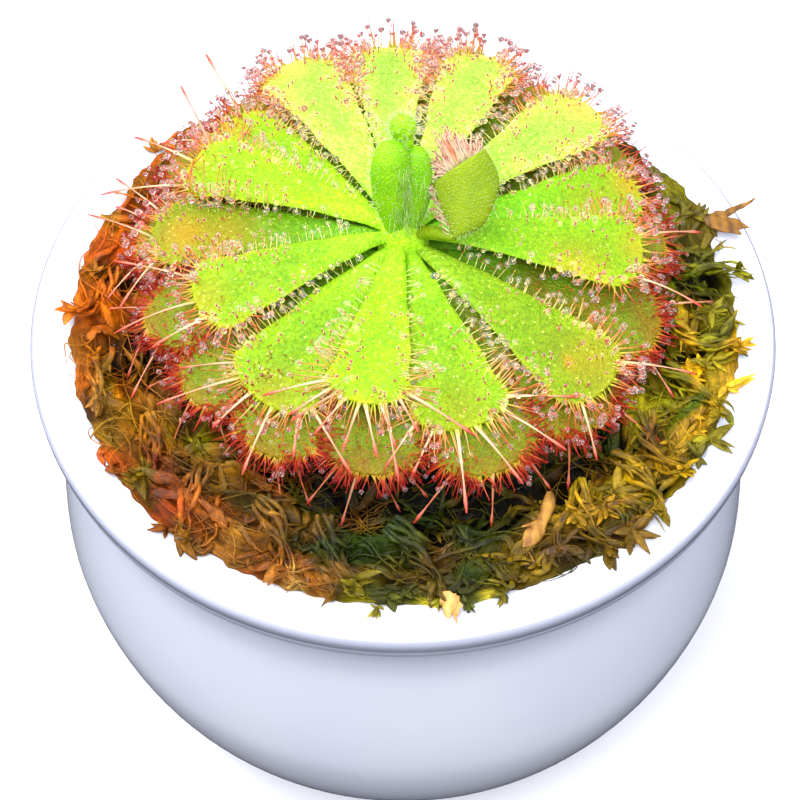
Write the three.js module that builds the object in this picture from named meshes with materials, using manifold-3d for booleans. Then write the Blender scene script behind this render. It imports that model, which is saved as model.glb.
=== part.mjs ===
// A tropical sundew, a rosette-forming carnivorous plant, growing in sphagnum moss in a small white glazed pot.
// Millimetres, +Z up. The origin is on the pot's axis, in the plane that its foot ring stands on.
//
// The pot is one turned and fired piece. The moss bed fills it and stands a little proud in the middle. The plant
// is a short crown with its root in the moss, two decks of wedge-shaped leaves round it, two young leaves that are
// still folded and one flower stalk. Moss sprigs, dry flakes, a twig and a bark chip lie on the bed and the lip.

import * as THREE from "three";
import { mergeVertices } from "three/addons/utils/BufferGeometryUtils.js";
import Module from "manifold-3d";

// ---- Driving dimensions ----
const CLEAR = 0.3; // gap between a piece and what carries it

const POT_RADIUS = 35; // the belly and the lip are equally wide
const POT_HEIGHT = 50;
const POT_WALL = 3;
const BELLY_HEIGHT = 23.7; // where the belly is widest
const NECK_HEIGHT = 43.5;
const NECK_PINCH = 3.1; // how much narrower the neck is than the belly
const BASE_RADIUS = 23; // where the belly meets the foot ring
const FOOT_INNER = 18.6;
const FOOT_OUTER = 22.6;
const FOOT_RECESS = 1.4; // the underside stands this far clear inside the foot ring
const FLOOR_TOP = 4.8;
const FLOOR_RADIUS = 20;
const LIP_ROUND = 0.9; // radius of the lip's outer edge
const LIP_INNER = 30.2;
const LIP_INNER_DROP = 1.9; // the inner edge is rounder than the outer one
const LIP_CREST = 31.9; // the flat top of the lip runs from here to its outer edge

const BED_GAP = 0.4; // moss to pot
const BED_EDGE = 29.8;
const BED_EDGE_TOP = 47.8;
const MOUND_TOP = 50.6; // the moss round the crown
const MOUND_SPREAD = 15;

const HUB = new THREE.Vector3(0, 4.9, 56); // where the upper leaves meet, a little behind the pot's axis
const CROWN_RADIUS = 1.9;
const CROWN_TOP = HUB.z + 2;
const ROOT_TIP = 38;
const SOCKET_RADIUS = 2.4; // the hole in the moss that holds the crown

const LEAF_THICKNESS = 0.45;
const LEAF_FOOT = CROWN_RADIUS + CLEAR; // from the crown's axis to the leaf's base
const LEAF_FOOT_WIDTH = 0.6;
const DISH = 0.4; // how far the edges stand above the midrib where the blade is widest
const DECK_STEP = 0.45; // upper leaves lie this much above or below the hub's height
const LOWER_DECK_DROP = 2.4;

const group = new THREE.Group();
const wasm = await Module();
wasm.setup();

// ---- Helpers ----
const lerp = THREE.MathUtils.lerp;
const radians = THREE.MathUtils.degToRad;
const clamp01 = (t) => Math.min(1, Math.max(0, t));
const arc = (centre, half, from, to, steps) =>
  Array.from({ length: steps + 1 }, (_, k) => {
    const a = radians(lerp(from, to, k / steps));
    return [centre[0] + half[0] * Math.cos(a), centre[1] + half[1] * Math.sin(a)];
  });
const evenly = (from, to, steps) => Array.from({ length: steps + 1 }, (_, k) => lerp(from, to, k / steps));
const numbered = (name, k) => name + "_" + String(k + 1).padStart(2, "0");

// A point at a bearing in degrees from +X and a radius from the pot's axis.
const polar = (bearing, radius) => [radius * Math.cos(radians(bearing)), radius * Math.sin(radians(bearing))];

function finish(color, roughness) {
  return new THREE.MeshStandardMaterial({ color, roughness, metalness: 0 });
}

function addPiece(name, geometry, material) {
  const mesh = new THREE.Mesh(geometry, material);
  mesh.name = name;
  group.add(mesh);
  return mesh;
}

// Straight-line interpolation in a list of [x, y] pairs with rising x.
function along(pairs, x) {
  const k = pairs.findIndex((pair) => pair[0] > x);
  if (k === 0) return pairs[0][1];
  if (k < 0) return pairs[pairs.length - 1][1];
  const [x0, y0] = pairs[k - 1];
  const [x1, y1] = pairs[k];
  return lerp(y0, y1, (x - x0) / (x1 - x0));
}

function geometryOf(points, triangles) {
  const geometry = new THREE.BufferGeometry();
  const coordinates = points.flatMap((point) => point.toArray());
  geometry.setAttribute("position", new THREE.Float32BufferAttribute(coordinates, 3));
  geometry.setIndex(triangles.flat());
  geometry.computeVertexNormals();
  return geometry;
}

// A closed plate. pointAt(row, column, side) gives its points, rows along +X, columns along +Y, side 1 on top.
function plateGeometry(rows, columns, pointAt) {
  const points = [];
  for (const side of [1, 0])
    for (let i = 0; i < rows; i++) for (let j = 0; j < columns; j++) points.push(pointAt(i, j, side));
  const top = (i, j) => i * columns + j;
  const under = (i, j) => rows * columns + i * columns + j;
  const triangles = [];
  const quad = (a, b, c, d) => triangles.push([a, b, c], [a, c, d]);
  const lastRow = rows - 1;
  const lastColumn = columns - 1;
  for (let i = 0; i < lastRow; i++) {
    for (let j = 0; j < lastColumn; j++) {
      quad(top(i, j), top(i + 1, j), top(i + 1, j + 1), top(i, j + 1));
      quad(under(i, j), under(i, j + 1), under(i + 1, j + 1), under(i + 1, j));
    }
    quad(top(i, 0), under(i, 0), under(i + 1, 0), top(i + 1, 0));
    quad(top(i, lastColumn), top(i + 1, lastColumn), under(i + 1, lastColumn), under(i, lastColumn));
  }
  for (let j = 0; j < lastColumn; j++) {
    quad(top(0, j), top(0, j + 1), under(0, j + 1), under(0, j));
    quad(top(lastRow, j), under(lastRow, j), under(lastRow, j + 1), top(lastRow, j + 1));
  }
  return geometryOf(points, triangles);
}

// A closed body lofted through rings that turn clockwise as seen along the way from the first end to the last.
function loftGeometry(rings, first, last) {
  const sides = rings[0].length;
  const points = [...rings.flat(), first, last];
  const start = points.length - 2;
  const end = points.length - 1;
  const finalRing = (rings.length - 1) * sides;
  const triangles = [];
  for (let k = 0; k < sides; k++) {
    const next = (k + 1) % sides;
    triangles.push([start, next, k], [end, finalRing + k, finalRing + next]);
    for (let i = 0; i < rings.length - 1; i++) {
      const a = i * sides;
      const b = a + sides;
      triangles.push([a + k, a + next, b + next], [a + k, b + next, b + k]);
    }
  }
  return geometryOf(points, triangles);
}

// A tapered body along a curve. sizeAt(t) gives the half width and half height of its oval section.
function taperedTube(curve, steps, sides, sizeAt) {
  const up = new THREE.Vector3(0, 0, 1);
  const rings = evenly(0, 1, steps).map((t) => {
    const centre = curve.getPoint(t);
    const forward = curve.getTangent(t);
    const side = new THREE.Vector3().crossVectors(up, forward).normalize();
    const over = new THREE.Vector3().crossVectors(forward, side);
    const [wide, tall] = sizeAt(t);
    return Array.from({ length: sides }, (_, k) => {
      const a = (2 * Math.PI * k) / sides;
      return centre
        .clone()
        .addScaledVector(side, wide * Math.cos(a))
        .addScaledVector(over, tall * Math.sin(a));
    });
  });
  const capAt = (t, sign) => curve.getPoint(t).addScaledVector(curve.getTangent(t), sign * 0.6 * sizeAt(t)[1]);
  return loftGeometry(rings, capAt(0, -1), capAt(1, 1));
}

function turned(profile, sides) {
  const points = profile.map(([r, z]) => new THREE.Vector2(r, z));
  return new THREE.LatheGeometry(points, sides).rotateX(Math.PI / 2);
}

function solidOf(geometry) {
  const bare = geometry.clone();
  bare.deleteAttribute("normal");
  bare.deleteAttribute("uv");
  const merged = mergeVertices(bare, 1e-4);
  const vertProperties = merged.attributes.position.array;
  return new wasm.Manifold(new wasm.Mesh({ numProp: 3, vertProperties, triVerts: merged.index.array }));
}

// Several closed geometries joined into one body.
function joined(...geometries) {
  const mesh = geometries
    .map(solidOf)
    .reduce((whole, solid) => whole.add(solid))
    .getMesh();
  const geometry = new THREE.BufferGeometry();
  geometry.setAttribute("position", new THREE.BufferAttribute(mesh.vertProperties, mesh.numProp));
  geometry.setIndex(new THREE.BufferAttribute(mesh.triVerts, 1));
  geometry.computeVertexNormals();
  return geometry;
}

// ---- Pot: round belly, pinched neck, thick flared lip, and a foot ring round a closed floor ----
// Radius of a face of the belly at a height: it swells from its base to the widest place and draws in to the neck.
function bellyRadius(z, base, widest, low) {
  if (z > BELLY_HEIGHT) {
    const rise = (z - BELLY_HEIGHT) / (NECK_HEIGHT - BELLY_HEIGHT);
    return widest - NECK_PINCH * rise ** 1.5;
  }
  const power = 1.7;
  const fall = (BELLY_HEIGHT - z) / (BELLY_HEIGHT - low);
  return base + (widest - base) * (1 - fall ** power) ** (1 / power);
}
const outerRadius = (z) => bellyRadius(z, BASE_RADIUS, POT_RADIUS, 0);
const innerRadius = (z) => bellyRadius(z, FLOOR_RADIUS, POT_RADIUS - POT_WALL, FLOOR_TOP);

const POT_SIDES = 48;
const outerHeights = [0.5, 1.6, 3.6, 6.6, 10.6, 15.4, 19.6, BELLY_HEIGHT, 29, 34.5, 39.5, 42.6];
const lipFlare = [
  [32.1, 44.6],
  [32.8, 46.4],
  [33.8, 47.6],
];
const innerHeights = [43, 39.5, 34.5, 29, BELLY_HEIGHT, 19.6, 14, 9.6, 6.6, 5.2];
const potProfile = [
  [0, FOOT_RECESS],
  [FOOT_INNER - 0.6, FOOT_RECESS],
  [FOOT_INNER, 0],
  [FOOT_OUTER, 0],
  ...outerHeights.map((z) => [outerRadius(z), z]),
  ...lipFlare,
  ...arc([POT_RADIUS - LIP_ROUND, POT_HEIGHT - LIP_ROUND], [LIP_ROUND, LIP_ROUND], -45, 90, 4),
  ...arc([LIP_CREST, POT_HEIGHT - LIP_INNER_DROP], [LIP_CREST - LIP_INNER, LIP_INNER_DROP], 90, 180, 3),
  ...innerHeights.map((z) => [innerRadius(z), z]),
  [0, FLOOR_TOP],
];
addPiece("pot", turned(potProfile, POT_SIDES), finish(0xf4f5fa, 0.15));

// ---- Moss bed: packed sphagnum from the pot's floor to just under its lip, with a low mound round the crown ----
// Height of the moss over the foot plane.
function mossTop(x, y) {
  const fromHub = Math.hypot(x - HUB.x, y - HUB.y);
  const mound = (MOUND_TOP - BED_EDGE_TOP) * Math.exp(-((fromHub / MOUND_SPREAD) ** 2));
  const lumps = 0.5 * Math.sin(0.55 * x + 1.3) * Math.cos(0.5 * y - 0.4) + 0.3 * Math.sin(0.7 * x - 0.6 * y);
  const calmAtEdge = clamp01((BED_EDGE - Math.hypot(x, y)) / 4);
  return BED_EDGE_TOP + mound + lumps * calmAtEdge;
}

function mossBedGeometry() {
  const sides = 36;
  const ringRound = (cx, cy, radius, heightAt) =>
    Array.from({ length: sides }, (_, k) => {
      const [x, y] = polar((360 * k) / sides, radius);
      return new THREE.Vector3(cx + x, cy + y, heightAt(cx + x, cy + y));
    });
  const againstPot = (z) => ringRound(0, 0, innerRadius(z) - BED_GAP, () => z + BED_GAP);
  // The rings of the top move from the pot's axis to the crown's as they get smaller.
  const overTop = (radius) => {
    const shift = 1 - radius / BED_EDGE;
    return ringRound(HUB.x * shift, HUB.y * shift, radius, mossTop);
  };
  const inSocket = (radius, z) => ringRound(HUB.x, HUB.y, radius, () => z);
  const rings = [
    ...innerHeights.toReversed().map(againstPot),
    ...[BED_EDGE, 27.6, 24.4, 20.6, 16.6, 12.4, 8.4, 5].map(overTop),
    inSocket(SOCKET_RADIUS, mossTop(HUB.x, HUB.y) - 0.2),
    inSocket(SOCKET_RADIUS - 0.8, ROOT_TIP + 4),
  ];
  const bottom = new THREE.Vector3(0, 0, FLOOR_TOP + BED_GAP);
  const socketBottom = new THREE.Vector3(HUB.x, HUB.y, ROOT_TIP - 1);
  return loftGeometry(rings, bottom, socketBottom);
}
addPiece("moss_bed", mossBedGeometry(), finish(0x4d5a24, 0.7));

// ---- Crown and root: the short stem that the leaves grow from, and the root below it ----
const crownProfile = [
  [0, ROOT_TIP],
  [0.5, ROOT_TIP + 2],
  [0.9, ROOT_TIP + 7],
  [1.3, MOUND_TOP - 1.6],
  [1.7, MOUND_TOP + 0.6],
  [CROWN_RADIUS, MOUND_TOP + 2],
  [CROWN_RADIUS, CROWN_TOP - 1],
  [1.4, CROWN_TOP - 0.3],
  [0, CROWN_TOP],
];
const crown = addPiece("root_crown", turned(crownProfile, 16), finish(0x7fae35, 0.6));
crown.position.set(HUB.x, HUB.y, 0);

// ---- Leaves: wedges that widen outwards to a round end, slightly dished, arching down to their tips ----
// Share of the leaf's length, and share of its greatest half width there.
const leafOutline = [
  [0.18, 0.27],
  [0.4, 0.56],
  [0.58, 0.8],
  [0.72, 0.96],
  [0.8, 1],
  [0.88, 0.92],
  [0.945, 0.7],
  [0.985, 0.4],
  [1, 0.14],
];

// reach: from the crown's axis to the tip. foot: height of the base. tip: height of the tip. bow: rise midway.
function leafGeometry({ reach, width, foot, tip, bow }) {
  const stations = [[0, LEAF_FOOT_WIDTH / width], ...leafOutline];
  const columns = 5;
  return plateGeometry(stations.length, columns, (i, j, side) => {
    const [t, share] = stations[i];
    const across = (2 * j) / (columns - 1) - 1;
    const midrib = lerp(foot, tip, t) + bow * 4 * t * (1 - t);
    const dish = DISH * share * across ** 2 * clamp01(2 * t);
    const z = midrib + dish - (side ? 0 : LEAF_THICKNESS);
    return new THREE.Vector3(lerp(LEAF_FOOT, reach, t), across * share * (width / 2), z);
  });
}

const leafGreen = finish(0xa6e22a, 0.45);
const olderGreen = finish(0x8fae2c, 0.5);

function addLeaf(name, bearing, shape, material) {
  const leaf = addPiece(name, leafGeometry(shape), material);
  leaf.position.set(HUB.x, HUB.y, 0);
  leaf.rotation.z = radians(bearing);
}

// Bearing, reach, width, whether it lies high or low in its deck, and height of the tip. Clockwise from the back.
const upperLeaves = [
  [94, 24.3, 7.3, -1, 55.2],
  [70, 24.3, 7.5, 1, 55.4],
  [41, 24.5, 8.4, 1, 55.2],
  [17, 23.4, 8, -1, 53.9],
  [-5, 22.2, 8.6, 1, 55.2],
  [-41, 24, 8.6, -1, 53.4],
  [-74, 20.7, 9, -1, 53.2],
  [-101, 18.6, 7.6, 1, 54.7],
  [-126, 21.2, 9.4, -1, 53.2],
  [-159, 20.2, 8.3, 1, 54.8],
  [176, 23.6, 7.8, -1, 53.6],
  [157, 21.8, 8, 1, 55.9],
  [141, 23, 8.4, -1, 54.2],
  [117, 24.6, 8.1, 1, 55.4],
];
upperLeaves.forEach(([bearing, reach, width, deck, tip], k) => {
  const foot = HUB.z + deck * DECK_STEP;
  addLeaf(numbered("leaf", k), bearing, { reach, width, foot, tip, bow: 0.8 }, leafGreen);
});

// Bearing, reach, width and height of the tip. The older leaves lie in the gaps of the upper deck and reach further.
const lowerLeaves = [
  [82, 25, 7.4, 52.6],
  [56, 25.4, 8.2, 52.4],
  [30, 25.2, 8, 52],
  [5, 24.8, 8, 51.8],
  [-21, 24.8, 8, 51.6],
  [-46, 25, 8, 51.2],
  [-71, 25.2, 8.2, 51.2],
  [-97, 24.8, 7.6, 51.2],
  [-120, 24.6, 7, 51.2],
  [-141, 24.6, 6.6, 51.4],
  [-162, 24.8, 6.8, 51.6],
  [175, 25.2, 7.2, 51.8],
  [152, 25.2, 7.3, 52.2],
  [129, 25.2, 7.3, 52.4],
  [105, 25, 7.3, 52.6],
];
lowerLeaves.forEach(([bearing, reach, width, tip], k) => {
  const foot = HUB.z - LOWER_DECK_DROP;
  addLeaf(numbered("lower_leaf", k), bearing, { reach, width, foot, tip, bow: 0.3 }, olderGreen);
});

// ---- Folded leaf: the youngest one, upright on the crown, its blade still folded along the midrib ----
function foldedLeafGeometry() {
  const foot = new THREE.Vector3(-0.3, 3.9, CROWN_TOP + CLEAR + 0.5);
  const top = new THREE.Vector3(-0.3, 6.6, 65.4);
  const halfWidths = [
    [0, 1.6],
    [0.15, 2.2],
    [0.45, 2.7],
    [0.75, 2.7],
    [0.92, 2],
    [1, 1.1],
  ];
  const sizeAt = (t) => {
    const wide = along(halfWidths, t);
    return [wide, 1.1 * Math.sqrt(wide / 2.7)];
  };
  return taperedTube(new THREE.LineCurve3(foot, top), 8, 12, sizeAt);
}
addPiece("folded_leaf", foldedLeafGeometry(), leafGreen);

// ---- Flower stalk: short and stout behind the folded leaf, with a round cluster of buds on its end ----
const BUD_RADIUS = 1.3;
function flowerStalkGeometry() {
  const foot = new THREE.Vector3(0, 6.6, CROWN_TOP + CLEAR);
  const budCentre = new THREE.Vector3(0, 9, 66.3);
  const stalk = taperedTube(new THREE.LineCurve3(foot, budCentre), 3, 10, () => [0.65, 0.65]);
  const bud = new THREE.SphereGeometry(BUD_RADIUS, 12, 8).translate(...budCentre.toArray());
  return joined(stalk, bud);
}
addPiece("flower_stalk", flowerStalkGeometry(), leafGreen);

// ---- Cupped leaf: half open, on a stalk that leans out from the crown, its back outwards and its mouth up ----
const CUP_BACK = new THREE.Vector3(8, 4.2, 60);
const CUP_MOUTH = new THREE.Vector3(5.1, 6.7, 62.9); // centre of the mouth
const CUP_RIM_LINE = new THREE.Vector3(4.7, 2.7, 2.5); // the long way across the mouth
const CUP_HALF_WIDTH = 3;
const CUP_HALF_DEPTH = 1.9;
const CUP_STALK_END = new THREE.Vector3(4.6, 2.1, 59.1);
function cuppedLeafGeometry() {
  const rise = CUP_MOUTH.clone().sub(CUP_BACK);
  // Share of the half width, and share of the distance from the back to the mouth.
  const bowl = [
    [0, 0],
    [0.4, 0.06],
    [0.73, 0.22],
    [0.93, 0.45],
    [1, 0.72],
    [0.97, 1],
    [0.84, 1.02],
    [0.5, 0.82],
    [0, 0.7],
  ];
  const shell = bowl.map(([r, h]) => [r * CUP_HALF_WIDTH, h * rise.length()]);
  const depthLine = rise.clone().cross(CUP_RIM_LINE).normalize();
  const widthLine = depthLine.clone().cross(rise).normalize();
  const placed = new THREE.Matrix4().makeBasis(widthLine, depthLine, rise.clone().normalize());
  const cup = turned(shell, 16)
    .scale(1, CUP_HALF_DEPTH / CUP_HALF_WIDTH, 1)
    .applyMatrix4(placed.setPosition(CUP_BACK));
  const foot = new THREE.Vector3(HUB.x + CROWN_RADIUS + CLEAR + 0.4, HUB.y - 1, CROWN_TOP + 0.1);
  const stalk = taperedTube(new THREE.LineCurve3(foot, CUP_STALK_END), 2, 8, () => [0.6, 0.5]);
  const middle = CUP_BACK.clone().addScaledVector(rise, 0.42);
  const wedge = new THREE.LineCurve3(CUP_STALK_END.clone().lerp(foot, 0.1), middle);
  const base = taperedTube(wedge, 4, 10, (t) => [lerp(0.6, 2, t), lerp(0.55, 1.3, t)]);
  return joined(cup, stalk, base);
}
addPiece("cupped_leaf", cuppedLeafGeometry(), leafGreen);

// ---- Moss sprigs, lying on the bed and here and there on the lip ----
// Height of whatever a loose piece lies on.
function ground(x, y) {
  const radius = Math.hypot(x, y);
  if (radius < BED_EDGE) return mossTop(x, y);
  const down = clamp01((LIP_CREST - radius) / (LIP_CREST - LIP_INNER));
  return Math.max(BED_EDGE_TOP, POT_HEIGHT - LIP_INNER_DROP * (1 - Math.sqrt(1 - down ** 2)));
}

// The highest ground within a reach of a point.
function groundRound(x, y, reach) {
  const around = evenly(0, 315, 7).map((bearing) => polar(bearing, reach));
  return Math.max(ground(x, y), ...around.map(([dx, dy]) => ground(x + dx, y + dy)));
}

// A tapered strand laid on the ground between two [bearing, radius] places. bend swings its middle to the left,
// and lift raises its far end.
function strandGeometry({ from, to, thick, bend, lift }) {
  const start = new THREE.Vector2(...polar(...from));
  const end = new THREE.Vector2(...polar(...to));
  const leftwards = new THREE.Vector2(start.y - end.y, end.x - start.x).normalize();
  const points = evenly(0, 1, 4).map((t) => {
    const { x, y } = start.clone().lerp(end, t).addScaledVector(leftwards, bend * 4 * t * (1 - t));
    return new THREE.Vector3(x, y, groundRound(x, y, thick) + CLEAR + 0.8 * thick + lift * t ** 2);
  });
  const taper = (t) => thick * (0.45 + 0.55 * Math.sin(Math.PI * (0.15 + 0.75 * t)));
  return taperedTube(new THREE.CatmullRomCurve3(points), 7, 6, (t) => [taper(t), 0.8 * taper(t)]);
}

const sprigs = [
  { from: [12, 26.8], to: [6, 32], thick: 1, bend: 0.8, lift: 0.5 },
  { from: [-1, 26], to: [-9, 31.4], thick: 1.1, bend: -1, lift: 0.2 },
  { from: [-14, 25.2], to: [-24, 31.2], thick: 1.2, bend: 1.2, lift: 0.3 },
  { from: [-27, 25], to: [-36, 30.6], thick: 1.2, bend: -1, lift: 0.2 },
  { from: [-39, 24.6], to: [-46, 32], thick: 1.1, bend: 1.2, lift: 0.4 },
  { from: [-49, 24.6], to: [-56, 32], thick: 1.1, bend: -0.8, lift: 0.1 },
  { from: [-77, 23.6], to: [-74, 29.4], thick: 1, bend: -0.7, lift: 0 },
  { from: [-92, 23.4], to: [-85, 29.4], thick: 1.3, bend: 1, lift: 0 },
  { from: [-106, 23.4], to: [-97, 29.4], thick: 1.3, bend: -1.2, lift: 0 },
  { from: [-121, 24], to: [-111, 29.8], thick: 1.3, bend: 1, lift: 0 },
  { from: [-135, 24.6], to: [-127, 31.6], thick: 1.2, bend: -1.2, lift: 0.2 },
  { from: [-153, 26], to: [-142, 29.8], thick: 1.3, bend: 1, lift: 0 },
  { from: [-171, 27.6], to: [-159, 29.6], thick: 1.2, bend: -0.8, lift: 0 },
  { from: [169, 28.2], to: [-179, 30.8], thick: 1.1, bend: 0.8, lift: 0.2 },
];
const mossGold = finish(0x9c8a24, 0.7);
sprigs.forEach((sprig, k) => addPiece(numbered("moss_sprig", k), strandGeometry(sprig), mossGold));

// ---- Dry bits: a twig, two curled flakes and a bark chip ----
const dryStraw = finish(0xe0a44c, 0.8);
const twig = { from: [-56, 23.4], to: [-72.5, 29.4], thick: 0.5, bend: 0.4, lift: 0 };
addPiece("dry_twig", strandGeometry(twig), dryStraw);

// A thin curled flake that widens and then comes to a point. It stands on its base edge and its curl.
function flakeGeometry(length, width, curl) {
  const rows = 6;
  const columns = 4;
  const thickness = 0.5;
  return plateGeometry(rows, columns, (i, j, side) => {
    const t = i / (rows - 1);
    const across = (2 * j) / (columns - 1) - 1;
    const half = (width / 2) * (0.3 + 0.7 * Math.sin(Math.PI * (0.2 + 0.7 * t)));
    const z = curl * (t - 0.4) ** 2 + 0.3 * across ** 2;
    return new THREE.Vector3(t * length, across * half, z + side * thickness);
  });
}

// place: [bearing, radius]. heading: the way the point of the flake lies. rise: height of its lowest place.
function addFlake(name, place, heading, rise, [length, width, curl]) {
  const flake = addPiece(name, flakeGeometry(length, width, curl), dryStraw);
  const [x, y] = polar(...place);
  flake.position.set(x, y, rise);
  flake.rotation.z = radians(heading);
}
addFlake("dry_flake_front", [-83, 30.6], -76, POT_HEIGHT + CLEAR, [3.2, 2.4, 1.4]);
addFlake("dry_flake_right", [19, 30.9], 27, POT_HEIGHT + CLEAR, [5.2, 2.6, 2.4]);

const CHIP_HALF = [2.2, 0.9, 0.6];
const [chipX, chipY] = polar(-64, 29);
const chip = addPiece("bark_chip", new THREE.SphereGeometry(1, 12, 6).scale(...CHIP_HALF), finish(0x5a3a1c, 0.8));
chip.position.set(chipX, chipY, groundRound(chipX, chipY, CHIP_HALF[1]) + CLEAR + CHIP_HALF[2]);
chip.rotation.z = radians(30);

export default group;
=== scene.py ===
# A tropical sundew in its glazed pot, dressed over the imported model. Lengths are millimetres until meshes.
import math

import bmesh
import bpy
import numpy as np
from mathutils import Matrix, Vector, noise


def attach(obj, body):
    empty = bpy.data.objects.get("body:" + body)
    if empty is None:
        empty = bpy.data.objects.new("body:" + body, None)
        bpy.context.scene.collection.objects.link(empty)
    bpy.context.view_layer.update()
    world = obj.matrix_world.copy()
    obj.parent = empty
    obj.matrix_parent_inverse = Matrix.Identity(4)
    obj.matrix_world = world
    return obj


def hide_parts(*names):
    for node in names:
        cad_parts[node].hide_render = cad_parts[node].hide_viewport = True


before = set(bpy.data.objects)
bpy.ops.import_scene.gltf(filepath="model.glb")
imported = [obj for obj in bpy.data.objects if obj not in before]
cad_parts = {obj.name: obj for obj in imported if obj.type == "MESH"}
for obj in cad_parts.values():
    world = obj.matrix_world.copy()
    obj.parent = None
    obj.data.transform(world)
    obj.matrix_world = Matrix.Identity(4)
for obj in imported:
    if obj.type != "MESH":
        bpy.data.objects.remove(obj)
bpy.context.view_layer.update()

# ---- Table and daylight ----
# A plain white table top in a bright room, with a wide window up behind the pot on the left. The table
# reads white but gives back little light, so the foot of the pot falls into shade. A second soft panel
# stands high in front, and the room is brightest to the sides.
MM = 0.001
TABLE_SIDE = 3000
TABLE_WHITES = (246, 247, 250), (250, 251, 253)
# The darker tone in which the table gives light back.
TABLE_GLOW = (64, 65, 72)
# Side of each soft lamp, where it is, and its watts.
LAMPS = {"window": (360, (-170, 150, 450), 2.03), "panel": (300, (-30, -190, 470), 2.0)}
LAMP_WHITE = (1, 0.985, 0.95)
SKY_BLUE = (0.87, 0.9, 1, 1)
# How bright the room is ahead and behind, and to the sides, and how far aside each of them begins.
SKY_AHEAD = 0.42
SKY_ASIDE = 2.2
SKY_TURN = (0.1, 0.85)
# How bright the room is from the horizon, 0, to overhead, 1, and the scale of the curve that holds it.
SKY_BANDS = ((0.02, 0.08), (0.16, 0.4), (0.4, 1.35), (0.62, 0.95), (0.95, 0.4))
SKY_SCALE = 4
# The camera's lens and its sideways shift, where it stands, and how many degrees below level it looks.
LENS = 89.94
LENS_SHIFT = -0.00375
CAMERA_PLACE = (0, -113.066, 200.458)
CAMERA_DIP = 55.575


def screen(red, green, blue):
    """A colour given as 0 to 255 on a screen, as linear red, green, blue and alpha."""
    channels = [c / 255 for c in (red, green, blue)]
    return (*[c / 12.92 if c < 0.04045 else ((c + 0.055) / 1.055) ** 2.4 for c in channels], 1)


def settle(tree, made, settings):
    """Sets a node's sockets and properties by name, with _ for a space. An output is joined to its socket."""
    for key, value in settings.items():
        socket = key.replace("_", " ")
        if isinstance(value, bpy.types.NodeSocket):
            tree.links.new(value, made.inputs[socket])
        elif hasattr(made, key):
            setattr(made, key, value)
        else:
            made.inputs[socket].default_value = value
    return made


def node_maker(tree):
    """A function that adds a node of some kind to the tree, with its settings."""
    return lambda kind, **settings: settle(tree, tree.nodes.new("ShaderNode" + kind), settings)


def finish_called(name):
    """A new material, a function that adds a node to it, and a function that sets its surface."""
    material = bpy.data.materials.new(name)
    material.use_nodes = True
    tree = material.node_tree
    shader = tree.nodes["Principled BSDF"]
    return material, node_maker(tree), lambda **settings: settle(tree, shader, settings)


def ramp_of(node, value, stops):
    """A colour ramp driven by value. stops is a list of (place, colour)."""
    ramp = node("ValToRGB", Fac=value)
    elements = ramp.color_ramp.elements
    while len(elements) < len(stops):
        elements.new(0.5)
    for element, (place, colour) in zip(elements, stops):
        element.position, element.color = place, colour
    return ramp.outputs["Color"]


def between(node, value, low, high, first, last):
    """The first colour where value is up to low, turning into the last one at high."""
    return ramp_of(node, value, [(low, first), (high, last)])


def mixed(node, share, first, second, blend="MIX"):
    """first turning into second as share goes from 0 to 1. Each is a colour or another node's output."""
    mix = node("MixRGB", blend_type=blend, Fac=share, Color1=first, Color2=second)
    return mix.outputs["Color"]


def make_table():
    side = TABLE_SIDE * MM / 2
    mesh = bpy.data.meshes.new("table_top")
    corners = [(-side, -side, 0), (side, -side, 0), (side, side, 0), (-side, side, 0)]
    mesh.from_pydata(corners, [], [(0, 1, 2, 3)])
    table = bpy.data.objects.new("table_top", mesh)
    bpy.context.collection.objects.link(table)
    material, node, surface = finish_called("white_table")
    cloud = node("TexNoise", Scale=40, Detail=4).outputs["Fac"]
    seen = between(node, cloud, 0.3, 0.7, *[screen(*white) for white in TABLE_WHITES])
    seen_directly = node("LightPath").outputs["Is Camera Ray"]
    surface(Base_Color=mixed(node, seen_directly, screen(*TABLE_GLOW), seen), Roughness=0.6)
    mesh.materials.append(material)


def make_sky():
    """A bluish light whose strength follows the height of the view and how far it turns to the side."""
    world = bpy.data.worlds.new("overcast")
    bpy.context.scene.world = world
    world.use_nodes = True
    node = node_maker(world.node_tree)
    view = node("SeparateXYZ", Vector=node("TexCoord").outputs["Generated"])
    height = node("FloatCurve", Value=view.outputs["Z"])
    points = height.mapping.curves[0].points
    while len(points) < len(SKY_BANDS):
        points.new(0.5, 0.5)
    for point, (place_up, bright) in zip(points, SKY_BANDS):
        point.location = place_up, bright / SKY_SCALE
    height.mapping.update()
    aside = node("Math", operation="ABSOLUTE", Value=view.outputs["X"])
    facing = node("MapRange", interpolation_type="SMOOTHSTEP", Value=aside.outputs["Value"])
    start, full = SKY_TURN
    ends = {"From_Min": start, "From_Max": full}
    ends |= {"To_Min": SKY_SCALE * SKY_AHEAD, "To_Max": SKY_SCALE * SKY_ASIDE}
    settle(world.node_tree, facing, ends)
    strength = node("Math", operation="MULTIPLY", Value=height.outputs["Value"])
    world.node_tree.links.new(facing.outputs["Result"], strength.inputs[1])
    sky = {"Color": SKY_BLUE, "Strength": strength.outputs["Value"]}
    settle(world.node_tree, world.node_tree.nodes["Background"], sky)


def place_lamps():
    for name, (side, place, watts) in LAMPS.items():
        light = bpy.data.lights.new(name, "AREA")
        light.size = side * MM
        light.energy = watts
        light.color = LAMP_WHITE
        lamp = bpy.data.objects.new(name, light)
        lamp.location = Vector(place) * MM
        lamp.rotation_euler = (-lamp.location).to_track_quat("-Z", "Y").to_euler()
        bpy.context.collection.objects.link(lamp)


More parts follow.
